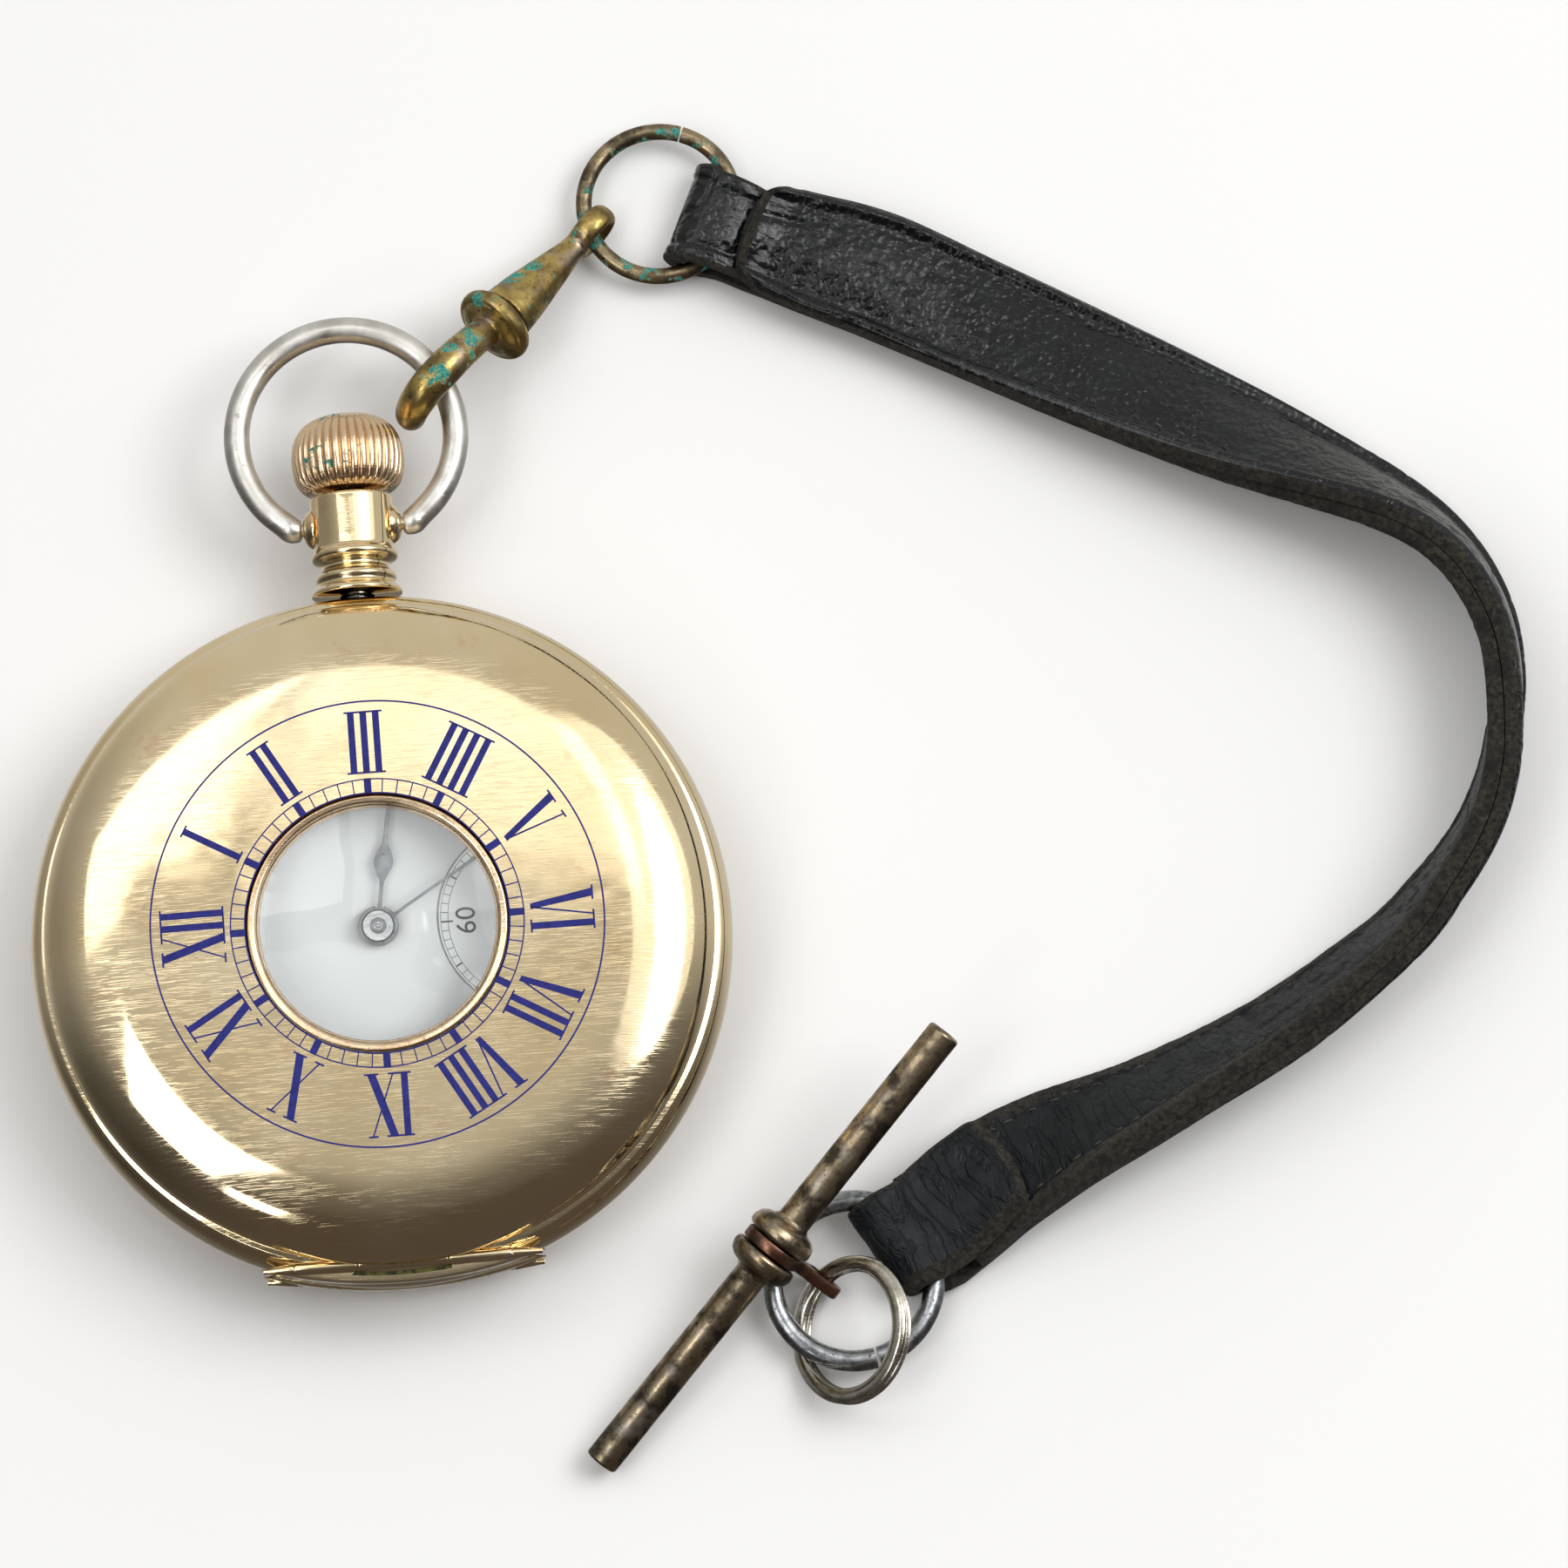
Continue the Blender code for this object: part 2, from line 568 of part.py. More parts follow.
def make_train(parent):
    cup = [(0.75, 5.75), (7.0, 5.75), (7.0, 4.75), (6.6, 4.75), (6.6, 5.4), (0.75, 5.4)]
    barrel = add("barrel", turned(cup, ring=True, steps=20), "brass", parent, (*BARREL_AT, 5), at(*BARREL_AT))
    rim = extruded(toothed(BARREL_RADIUS, 0.5, 22), 5.3, 5.7, [circle(6.8, 20)])
    boolean(barrel, add("barrel_teeth", rim, "brass", parent, frame=at(*BARREL_AT)), "UNION")
    add("mainspring", spiral_spring(1.6, 4.6, 0.18, 4.8, 5.3), "blued_steel", parent, (*BARREL_AT, 5), at(*BARREL_AT))
    arbor = [(0, 2.3), (0.65, 2.3), (0.65, 2.95), (0.65, 6.8), (0, 6.8)]
    add("barrel_arbor", turned(arbor, steps=12), "steel", parent, (*BARREL_AT, 5), at(*BARREL_AT))
    make_wheel("centre_wheel", (0, 0), 7.2, 20, 5.95, 6.25, (0.45, 3.1, 8.4), (1.2, 6, 4.7, 5.85), parent)
    make_wheel("third_wheel", THIRD_AT, 6.25, 18, 5.35, 5.6, (0.3, 4.6, 6.8), (0.85, 6, 5.9, 6.3), parent)
    make_wheel("fourth_wheel", (SECONDS_OFFSET, 0), 5.5, 16, 6.4, 6.6, (0.25, 4.6, 9.35), (0.75, 6, 5.3, 5.7), parent)
    make_wheel("escape_wheel", ESCAPE_AT, 3.0, 15, 5.75, 5.95, (0.22, 4.6, 6.8), (0.6, 5, 6.3, 6.7), parent, "steel")


def make_escapement(parent):
    x, y = PALLET_AT
    to_balance = math.degrees(math.atan2(BALANCE_AT[1] - y, BALANCE_AT[0] - x))
    fork = [(-0.5, 0.45), (-0.9, 2.3), (-1.35, 2.3), (-1.3, 0.2), (-1.0, -0.2), (-1.3, -2.2), (-0.9, -2.3),
            (-0.45, -0.5), (3.6, -0.3), (4.5, -0.8), (4.5, -0.35), (4.15, 0), (4.5, 0.35), (4.5, 0.8), (3.6, 0.3)]
    place = at(x, y) @ Matrix.Rotation(math.radians(to_balance), 4, "Z")
    pallets = add("pallet_fork", extruded(fork, 6.15, 6.28), "steel", parent, (x, y, 6.2), place)
    boolean(pallets, add("pallet_arbor", rod(0.25, 5.95, 6.8, 8), "steel", parent, frame=at(x, y)), "UNION")
    outer = circle(BALANCE_RADIUS, 32)
    windows = spoke_windows(1.2, BALANCE_RADIUS - 0.8, 2, 1.0)
    balance = add("balance_wheel", extruded(outer, 5.15, 5.75, windows), "brass", parent, (*BALANCE_AT, 5.4),
                  at(*BALANCE_AT))
    staff = [(0, 3.2), (0.25, 3.2), (0.25, 5.0), (0.9, 5.05), (0.9, 5.9), (0.3, 6.0), (0.3, 6.8), (0, 6.8)]
    boolean(balance, add("balance_staff", turned(staff, steps=10), "steel", parent, frame=at(*BALANCE_AT)), "UNION")
    hairspring = spiral_spring(0.75, 2.9, 0.1, 4.62, 4.84)
    add("hairspring", hairspring, "blued_steel", parent, (*BALANCE_AT, 4.7), at(*BALANCE_AT))
    regulator = arc(1.7, 40, 320, 12) + [(6.6, -0.28), (6.9, 0.0), (6.6, 0.28)]
    regulator_bm = extruded(regulator, 2.62, 2.9, [circle(0.9, 12)])
    turn = Matrix.Rotation(math.radians(205), 4, "Z")
    add("regulator", regulator_bm, "steel", parent, (*BALANCE_AT, 2.7), at(*BALANCE_AT) @ turn)


def make_winding_works(parent):
    ratchet = extruded(toothed(5.5, 0.5, 18), 2.4, 2.85, [circle(0.75, 12)])
    add("ratchet_wheel", ratchet, "steel", parent, (*BARREL_AT, 2.6), at(*BARREL_AT))
    distance = math.dist(BARREL_AT, CROWN_WHEEL_AT)
    reach = distance - 5.5 - MESH_GAP
    crown_wheel = add("crown_wheel", extruded(toothed(reach, 0.5, 18), 2.4, 2.85, [circle(1.2, 12)]), "steel",
                      parent, (*CROWN_WHEEL_AT, 2.6), at(*CROWN_WHEEL_AT))
    drum = tube(1.25, 3.7, 2.6, 5.3, 14)
    boolean(crown_wheel, add("crown_wheel_drum", drum, "steel", parent, frame=at(*CROWN_WHEEL_AT)), "UNION")
    click = [(0.0, 0.7), (-0.7, 0.4), (-0.8, -0.4), (-0.2, -0.8), (1.4, -0.55), (2.2, 0.35), (1.2, 0.35)]
    add("click", extruded(click, 2.4, 2.8), "steel", parent, (*CLICK_AT, 2.6), at(*CLICK_AT))


def make_dial(parent):
    dial = add(
        "dial", extruded(circle(DIAL_RADIUS, 36), DIAL_BOTTOM, DIAL_TOP, [circle(1.35, 16),
                                                                    circle(0.42, 8, (SECONDS_OFFSET, 0))]),
        "enamel", parent)
    sink = add("seconds_sink", rod(SECONDS_RADIUS, DIAL_TOP - 0.14, DIAL_TOP + 1, 18), "enamel", parent,
               frame=at(SECONDS_OFFSET, 0))
    boolean(dial, sink, "DIFFERENCE")
    works = tube(0.56, 0.95, 8.0, 10.45, 14)
    add("cannon_pinion", works, "steel", parent)
    hour = tube(1.0, 1.25, 8.75, 9.75, 16)
    add("hour_wheel", hour, "brass", parent)


def make_hands(parent):
    hour = [(-0.45, 1.15), (-0.3, 3.2), (-0.35, 3.6), (-0.72, 4.3), (-0.6, 5.0), (-0.22, 6.0), (-0.16, 7.2),
            (-0.1, 12.5), (0, 13.0)]
    outline = hour + [(-x, y) for x, y in hour[-2::-1]] + arc(1.45, 50, -230, 14)
    hour_turn = Matrix.Rotation(math.radians(-HOUR_HAND_TURN), 4, "Z")
    add("hour_hand", extruded(outline, 9.8, 9.95, [circle(1.05, 12)]), "blued_steel", parent, frame=hour_turn)
    minute = [(-0.3, 1.0), (-0.14, 4.0), (-0.1, 17.5), (0, 18.4)]
    outline = minute + [(-x, y) for x, y in minute[-2::-1]] + arc(1.25, 55, -235, 14)
    minute_turn = Matrix.Rotation(math.radians(-MINUTE_HAND_TURN), 4, "Z")
    add("minute_hand", extruded(outline, 10.5, 10.65, [circle(0.6, 12)]), "blued_steel", parent, frame=minute_turn)
    seconds = [(-0.14, 0.5), (-0.06, 5.6), (0, 5.9)]
    tail = [(0.12, -2.2), (-0.12, -2.2)]
    outline = seconds + [(-x, y) for x, y in seconds[-2::-1]] + arc(0.55, 10, -60, 4) + tail + arc(0.55, 240, 170, 4)
    place = at(SECONDS_OFFSET, 0) @ Matrix.Rotation(math.radians(-125), 4, "Z")
    add("seconds_hand", extruded(outline, 9.42, 9.52), "blued_steel", parent, (SECONDS_OFFSET, 0, 9.4), place)


# ---------------------------------------------------------------- albert

def clip_frame():
    """Local +X from the collar to the eye, local +Z up and square to it."""
    heading = Matrix.Rotation(math.radians(CLIP_HEADING), 4, "Z")
    drop = Matrix.Rotation(math.radians(CLIP_DROP), 4, "Y")
    return at(*CLIP_AT) @ heading @ drop


def make_clip(parent):
    frame = clip_frame()
    spine = [(-0.7, 0, 0.25, 1.2), (-2.2, 0, 0.9, 1.2), (-4.2, 0, 1.42, 1.28), (-6.3, 0, 1.5, 1.32),
             (-8.3, 0, 0.9, 1.32), (-9.35, 0, -0.5, 1.28), (-9.4, 0, -2.1, 1.15), (-8.7, 0, -3.2, 1.0),
             (-7.8, 0, -3.75, 0.75)]
    samples = spline(spine, 2)
    path = [Vector(sample[:3]) for sample in samples]
    bar = swept(wire_sections(path, [sample[3] for sample in samples], 10, Vector((0, 1, 0))))
    hook = add("clip_hook", bar, "old_brass", parent, CLIP_AT, frame)
    collar = [(0, -1.1), (1.5, -1.1), (2.1, -0.95), (2.9, -0.75), (3.1, 0.0), (2.9, 0.75), (2.3, 0.95), (0, 0.95)]
    boolean(hook, add("clip_collar", turned(collar, steps=20), "old_brass", parent, frame=frame @ ALONG_X), "UNION")
    slot = extruded([(-2.6, -0.75), (-0.3, -0.75), (-0.3, 0.75), (-2.6, 0.75)], -2.75, -1.0)
    boolean(hook, add("gate_slot", slot, "old_brass", parent, frame=frame), "DIFFERENCE")
    cone = [(0, 1.05), (2.2, 1.05), (2.15, 1.5), (1.95, 3.2), (1.6, 5.2), (1.2, 7.6), (1.0, 9.0), (0.95, 10.1), (0, 10.1)]
    swivel = add("clip_swivel", turned(cone, steps=18), "old_brass", parent, CLIP_AT, frame @ ALONG_X)
    eye = turned([(1.17, -0.5), (1.6, -0.95), (1.9, -0.95), (2.2, -0.5), (2.2, 0.5), (1.9, 0.95), (1.6, 0.95),
                  (1.17, 0.5)], ring=True, steps=16)
    eye_place = frame @ at(EYE_REACH, 0, 0) @ Matrix.Rotation(math.radians(90), 4, "X")
    boolean(swivel, add("clip_eye", eye, "old_brass", parent, frame=eye_place), "UNION")
    gate_path = [Vector((-0.75, 0, -2.1)), Vector((-3.0, 0, -2.75)), Vector((-5.2, 0, -3.35)), Vector((-6.75, 0, -3.8))]
    gate = swept(wire_sections(gate_path, [0.62, 0.66, 0.62, 0.5], 8, Vector((0, 1, 0))))
    pivot = frame @ Vector((-0.9, 0, -2.1))
    add("clip_gate", gate, "old_brass", parent, pivot, frame)


def make_rings(parent):
    steps = 28
    path = []
    for i in range(steps + 1):
        angle = math.radians(70 + 358 * i / steps)
        path.append(Vector((FOB_RING_RADIUS * math.cos(angle), FOB_RING_RADIUS * math.sin(angle), 0)))
    ring = swept(wire_sections(path, [FOB_RING_WIRE] * len(path), 8))
    add("fob_ring", ring, "old_bronze", parent, FOB_RING_AT, at(*FOB_RING_AT))
    path = []
    for i in range(steps + 1):
        angle = math.radians(-76 + 357 * i / steps)
        path.append(Vector((STRAP_RING_RADIUS * math.cos(angle), STRAP_RING_RADIUS * math.sin(angle), 0)))
    ring = swept(wire_sections(path, [STRAP_RING_WIRE] * len(path), 8))
    add("strap_ring", ring, "steel", parent, STRAP_RING_AT, at(*STRAP_RING_AT))
    coil = []
    turns = 20
    for i in range(2 * turns + 1):
        angle = math.tau * i / turns
        rise = max(min((i - turns) / 3, 1), -1) * 0.33
        coil.append((angle, rise))
    sections = []
    for angle, rise in coil:
        out = Vector((math.cos(angle), math.sin(angle), 0))
        up = Vector((0, 0, 1))
        middle = out * SPLIT_RING_RADIUS + up * rise
        corners = ((-0.5, 0), (-0.25, 0.29), (0.25, 0.29), (0.5, 0), (0.25, -0.29), (-0.25, -0.29))
        sections.append([middle + out * a + up * b for a, b in corners])
    tilt = Matrix.Rotation(math.radians(-4.5), 4, "Z") @ Matrix.Rotation(math.radians(-SPLIT_RING_TILT), 4, "Y")
    turn = Matrix.Rotation(math.radians(60), 4, "Z")
    add("split_ring", swept(sections), "nickel_silver", parent, SPLIT_RING_AT, at(*SPLIT_RING_AT) @ tilt @ turn)


def t_bar_frame():
    """Local +X along the bar, to its raised end."""
    heading = Matrix.Rotation(math.radians(T_BAR_HEADING), 4, "Z")
    rise = Matrix.Rotation(math.radians(-T_BAR_RISE), 4, "Y")
    return at(*T_BAR_AT) @ heading @ rise


def make_t_bar(parent):
    frame = t_bar_frame()
    half = [(0, 20.4), (1.2, 20.4), (T_BAR_RADIUS, 20.25), (T_BAR_RADIUS, 3.2), (1.65, 2.3), (2.1, 2.1),
            (2.62, 1.6), (2.7, 1.15), (2.45, 0.72), (1.6, 0.62)]
    profile = half + [(radius, -height) for radius, height in half[::-1]]
    add("t_bar", turned(profile, steps=16), "old_bronze", parent, T_BAR_AT, frame @ ALONG_X)
    tip = Vector((math.cos(math.radians(TAB_TURN)), math.sin(math.radians(TAB_TURN))))
    side = Vector((-tip.y, tip.x))
    hole_at = tip * TAB_REACH
    ring = arc(2.35, TAB_TURN + 18, TAB_TURN + 342, 14)
    nose = arc(1.75, TAB_TURN - 70, TAB_TURN + 70, 7, hole_at)
    neck_low = tip * 3.4 - side * 0.8
    neck_high = tip * 3.4 + side * 0.8
    outline = ring + [tuple(neck_low)] + nose + [tuple(neck_high)]
    band = extruded(outline, -0.48, 0.48, [circle(1.74, 12), circle(1.14, 12, hole_at)])
    square = Matrix(((0, 0, 1, 0), (-1, 0, 0, 0), (0, 1, 0, 0), (0, 0, 0, 1)))
    add("t_bar_band", band, "copper", parent, T_BAR_AT, frame @ square)


def strap_axis():
    """Samples of the strap's middle: place, direction across it and direction of its face."""
    samples = spline(STRAP_ROUTE, STRAP_STEPS)
    flats = [Vector((x, y, 0)) for x, y, roll in samples]
    stations = []
    for i, (x, y, roll) in enumerate(samples):
        along = (flats[min(i + 1, len(flats) - 1)] - flats[max(i - 1, 0)]).normalized()
        outward = Vector((-along.y, along.x, 0))
        turn = math.radians(roll)
        height = STRAP_WIDTH / 2 * abs(math.sin(turn)) + 1.25 * abs(math.cos(turn)) + 0.05
        across = outward * math.cos(turn) - Vector((0, 0, math.sin(turn)))
        face = outward * math.sin(turn) + Vector((0, 0, math.cos(turn)))
        stations.append((Vector((x, y, height)), across, face))
    return stations


def ribbon(stations, slant):
    """A ply through stations of (place, across, width): its thickness is square to its path."""
    sections = []
    for i, (place, across, width) in enumerate(stations):
        before = stations[max(i - 1, 0)][0]
        after = stations[min(i + 1, len(stations) - 1)][0]
        along = (after - before).normalized()
        over = along.cross(across).normalized() * (PLY / 2)
        half = across * (width / 2)
        sections.append([place - half - over, place + half - over, place + half + over, place - half + over])
    return swept(sections, slant)


def blend(value, start, end):
    """Goes from 0 to 1 as the value goes from start to end."""
    t = min(max((value - start) / (end - start), 0), 1)
    return t * t * (3 - 2 * t)


def fold(place, across, ahead, rise, radius, count=9):
    """Stations of a half turn that starts at place, goes ahead and comes back radius * 2 higher."""
    made = []
    centre = place + rise * radius
    for i in range(count):
        turn = math.pi * i / (count - 1)
        made.append(centre - rise * radius * math.cos(turn) + ahead * radius * math.sin(turn))
    return [(point, across) for point in made]


def make_strap(parent):
    axis = strap_axis()
    up = Vector((0, 0, 1))

    across = axis[0][1]
    ahead = (axis[0][0] - axis[2][0]).normalized()
    loop_start = Vector((28.25, 54.35, 0.67))
    lining = []
    tail = (10.5, 7.5, 5.5, 4.2, 3.2, 2.2, 1.2, 0.0)
    heights = (1.93, 1.95, 2.05, 2.4, 2.95, 3.4, 3.55, 3.57)
    for back, height in zip(tail, heights):
        place = loop_start - ahead * back
        lining.append((Vector((place.x, place.y, height)), across, 7.6 if back > 5 else 7.0 + 0.1 * (5 - back)))
    turn_back = fold(loop_start, across, ahead, up, 1.45)
    lining += [(point, side, 8.0) for point, side in turn_back[::-1][1:]]
    lining.append((loop_start - ahead * 2.0, across, 7.4))
    for number, (place, side, face) in enumerate(axis[:-4]):
        width = STRAP_WIDTH - 1.6 * (1 - blend(number, 0, 5))
        lining.append((place - face * PLY_OFFSET, side, width))
    add("strap_lining", ribbon(lining, 1), "leather", parent)

    face_ply = []
    travelled = 0.0
    for number, (place, side, face) in enumerate(axis):
        if number:
            travelled += (place - axis[number - 1][0]).length
        lifted = 1.3 * (1 - blend(travelled, 8.5, 13.0)) + 0.95 * (1 - blend(travelled, 0, 2.2))
        width = STRAP_WIDTH - 1.3 * (1 - blend(number, 0, 5)) - 1.1 * blend(number, len(axis) - 9, len(axis) - 1)
        face_ply.append((place + face * (PLY_OFFSET + lifted), side, width))
    end, across, face = axis[-1]
    ahead = (axis[-1][0] - axis[-3][0]).normalized()
    fold_start = end + face * PLY_OFFSET
    turn_back = fold(fold_start + ahead * 0.5, across, ahead, up, 1.53)
    face_ply += [(point, side, 7.9) for point, side in turn_back]
    for back, height in ((1.6, 3.72), (3.1, 3.47), (4.4, 3.22)):
        place = fold_start - ahead * back
        face_ply.append((Vector((place.x, place.y, height)), across, 8.2))
    for number in (-9, -10):
        place, side, face = axis[number]
        face_ply.append((place - face * (PLY_OFFSET + 1.3), side, 8.4 if number > -10 else 7.6))
    add("strap_face", ribbon(face_ply, 2), "leather", parent)


def main():
    clear_scene()
    watch = group("watch_group")
    works = group("movement_group")
    albert = group("albert_group")
    make_case_centre(watch)
    make_front_cover(watch)
    make_back_cover(watch)
    make_cuvette(watch)
    make_crystal(watch)
    make_pendant(watch)
    make_crown(watch)
    make_stem(watch)
    make_bow(watch)
    make_plates(works)
    make_train(works)
    make_escapement(works)
    make_winding_works(works)
    make_dial(works)
    make_hands(works)
    make_clip(albert)
    make_rings(albert)
    make_t_bar(albert)
    make_strap(albert)


main()
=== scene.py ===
"""The looks of a half-hunter pocket watch and its leather albert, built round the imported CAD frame."""

import json
import math

import bmesh
import bpy
from mathutils import Matrix, Vector, noise


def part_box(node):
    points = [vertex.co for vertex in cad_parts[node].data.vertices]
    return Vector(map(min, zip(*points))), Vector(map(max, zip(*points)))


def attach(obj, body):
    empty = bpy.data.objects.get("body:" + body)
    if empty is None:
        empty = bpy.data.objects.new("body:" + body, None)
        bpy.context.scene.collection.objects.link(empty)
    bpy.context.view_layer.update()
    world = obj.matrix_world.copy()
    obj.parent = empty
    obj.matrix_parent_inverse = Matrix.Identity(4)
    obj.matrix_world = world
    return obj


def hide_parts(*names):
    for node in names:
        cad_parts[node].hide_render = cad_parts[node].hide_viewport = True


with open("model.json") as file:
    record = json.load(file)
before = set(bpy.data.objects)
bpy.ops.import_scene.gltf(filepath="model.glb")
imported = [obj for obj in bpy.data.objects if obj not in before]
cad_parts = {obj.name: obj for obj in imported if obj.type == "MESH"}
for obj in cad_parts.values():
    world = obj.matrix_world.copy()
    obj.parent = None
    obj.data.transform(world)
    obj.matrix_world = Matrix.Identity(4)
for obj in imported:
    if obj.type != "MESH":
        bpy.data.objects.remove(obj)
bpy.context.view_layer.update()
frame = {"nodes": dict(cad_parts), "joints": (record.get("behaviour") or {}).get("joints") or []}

# Lengths are in millimetres until piece() makes the mesh, and angles are in degrees.
MM = 0.001
JOINTS = {joint["name"]: joint for joint in frame["joints"]}


def low(node):
    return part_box(node)[0] / MM


def high(node):
    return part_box(node)[1] / MM


def joint_at(name):
    return Vector(JOINTS[name]["pos_m"]) / MM


def joint_axis(name):
    return Vector(JOINTS[name]["axis"]).normalized()


MID_Z = (low("case_centre").z + high("case_centre").z) / 2
LID_RADIUS = high("front_cover").x
CASE_RADIUS = high("case_centre").x
HINGE_Y = joint_at("front_cover_hinge").y
HINGE_LIFT = joint_at("front_cover_hinge").z - MID_Z
SECONDS_X = joint_at("seconds_turn").x
DIAL_TOP = high("dial").z

# Case: how much slimmer the window's ring is than its CAD node, the covers' wall, and the hinges'
# knuckles, which taper at both ends of the hinge line.
RING_TRIM = 0.16
COVER_WALL = 0.55
KNUCKLE_RADIUS = 0.46
KNUCKLE_TIP_RADIUS = 0.17
COVER_KNUCKLE_HALF = 3.3
CASE_KNUCKLE_FROM = 3.40
TAPER_FROM = 8.0
HINGE_HALF = 10.2

# Inlay on the lid: each pair is an inner and an outer radius.
LID_TRACK = (9.72, 10.76)
LID_NUMERALS = (11.25, 15.85)
LID_OUTER_LINE = (16.58, 16.71)

# Print on the dial and on the seconds dial sunk in it, as radii.
DIAL_TRACK = (19.3, 20.2)
DIAL_NUMERALS = (14.6, 18.5)
SECONDS_RADIUS = 6.9
SECONDS_SINK = 0.22
SECONDS_TRACK = (6.1, 6.62)
SECONDS_FIGURES_AT = 4.75
SECONDS_FIGURE_SIZE = 2.05
INLAY_LIFT = 0.012
PRINT_LIFT = 0.006

# Crown, clip, rings and bar.
CROWN_RIBS = 36
CROWN_RIB_POINTS = 8
CROWN_RIB_DEPTH = 0.25
BRASS_VOXEL = 0.13
BRASS_SMOOTHS = 3
EYE_REACH = 11.6
COIL_RADIUS = 4.93
COIL_RISE = 0.33
COIL_WIRE = (0.6, 0.32)
BAR_HALF_LENGTH = 20.4
BAR_RADIUS = 1.28
TAB_REACH = 5.37

# The strap's sizes, how long its folded tongue and its loop round the fob ring are, and the middle
# line of the CAD strap: x, y and its roll in degrees.
STRAP_WIDTH = 9.3
PLY = 1.15
PLY_OFFSET = 0.58
TONGUE = 17.0
LOOP = 14.5
STRAP_ROUTE = (
    (31.8, 52.8, 0), (36.0, 50.9, 0), (41.0, 48.7, 3), (46.3, 45.8, 8), (51.5, 42.8, 14),
    (57.5, 39.3, 22), (66.6, 34.1, 36), (72.5, 30.8, 50), (77.0, 28.2, 60), (80.4, 25.6, 67),
    (82.8, 22.6, 72), (84.3, 19.2, 76), (84.9, 16.0, 80), (84.9, 13.0, 83), (84.5, 10.0, 87),
    (83.9, 7.3, 91), (82.5, 3.8, 96), (80.6, 0.8, 100), (78.1, -2.1, 104), (74.9, -5.3, 109),
    (66.8, -10.8, 117), (60.1, -14.1, 122), (53.8, -16.8, 132), (48.9, -18.6, 146),
    (44.1, -20.75, 163), (40.0, -23.3, 178), (37.15, -24.95, 180),
)

# What the camera looks at, how far off it is, how steeply it looks down, how far it is turned and its
# lens. The floor's size is in metres.
VIEW_TARGET = Vector((30.74, 10.84, 0))
VIEW_DISTANCE = 654.6
VIEW_DOWN = 78.5
VIEW_TURN = 4.5
LENS = 200
SENSOR = 36
FLOOR_SIZE = 3.0


# ---------------------------------------------------------------- shapes

def at(x, y, z=0.0):
    return Matrix.Translation((x, y, z))


ALONG_X = Matrix.Rotation(math.radians(90), 4, "Y")
ALONG_Y = Matrix.Rotation(math.radians(-90), 4, "X")


def facing(place, axis, side_hint=Vector((0, 0, 1))):
    """A frame at place whose Z is the axis and whose X is as near side_hint as it can be."""
    z = Vector(axis).normalized()
    x = (side_hint - z * side_hint.dot(z)).normalized()
    y = z.cross(x)
    matrix = Matrix((x, y, z)).transposed().to_4x4()
    return at(*place) @ matrix


def arc(radius, start, end, count, centre=(0, 0)):
    angles = [math.radians(start + (end - start) * i / count) for i in range(count + 1)]
    return [(centre[0] + radius * math.cos(a), centre[1] + radius * math.sin(a)) for a in angles]


def circle(radius, count, centre=(0, 0)):
    return arc(radius, 0, 360 - 360 / count, count - 1, centre)


def spline(points, per_span):
    """Catmull-Rom samples through points of any number of coordinates."""
    samples = []
    last = len(points) - 1
    for i in range(last):
        p0, p1, p2, p3 = (points[min(max(j, 0), last)] for j in (i - 1, i, i + 1, i + 2))
        for step in range(per_span):
            t = step / per_span
            samples.append(tuple(
                0.5 * (2 * b + (c - a) * t + (2 * a - 5 * b + 4 * c - d) * t**2
                       + (3 * b - a - 3 * c + d) * t**3)
                for a, b, c, d in zip(p0, p1, p2, p3)
            ))
    samples.append(tuple(points[-1]))
    return samples


def rounded(points, reach, count=4, closed=False):
    """The outline with each corner turned into a short curve that starts up to reach before it."""
    made = []
    last = len(points) - 1
    for i, point in enumerate(points):
        if not closed and i in (0, last):
            made.append(tuple(point))
            continue
        here = Vector(point)
        before = Vector(points[i - 1]) - here
        after = Vector(points[(i + 1) % len(points)]) - here
        start = here + before * min(reach / before.length, 0.45)
        end = here + after * min(reach / after.length, 0.45)
        for k in range(count + 1):
            t = k / count
            made.append(tuple(start * (1 - t) ** 2 + here * 2 * t * (1 - t) + end * t * t))
    return made


def revolve(profile, steps=96, ring=False):
    """Turns (radius, height) points about Z. A ring's profile is closed; another one ends on the axis."""
    bm = bmesh.new()
    rows = []
    for radius, height in profile:
        if radius < 1e-6:
            rows.append([bm.verts.new((0, 0, height))])
        else:
            turns = [math.tau * i / steps for i in range(steps)]
            rows.append([bm.verts.new((radius * math.cos(a), radius * math.sin(a), height)) for a in turns])
    pairs = list(zip(rows, rows[1:])) + ([(rows[-1], rows[0])] if ring else [])
    for first, second in pairs:
        if len(first) + len(second) == 2:
            continue
        for i in range(steps):
            j = (i + 1) % steps
            corners = [first[i % len(first)], first[j % len(first)]]
            corners += [second[j % len(second)], second[i % len(second)]]
            bm.faces.new(list(dict.fromkeys(corners)))
    return bm


def loft(sections, closed=False, bm=None):
    """Joins rings of points into a skin: a closed loop, or one with capped ends."""
    bm = bm or bmesh.new()
    rings = [[bm.verts.new(point) for point in section] for section in sections]
    pairs = list(zip(rings, rings[1:])) + ([(rings[-1], rings[0])] if closed else [])
    for first, second in pairs:
        for i in range(len(first)):
            j = (i + 1) % len(first)
            bm.faces.new((first[i], first[j], second[j], second[i]))
    if not closed:
        bm.faces.new(rings[0])
        bm.faces.new(rings[-1])
    return bm


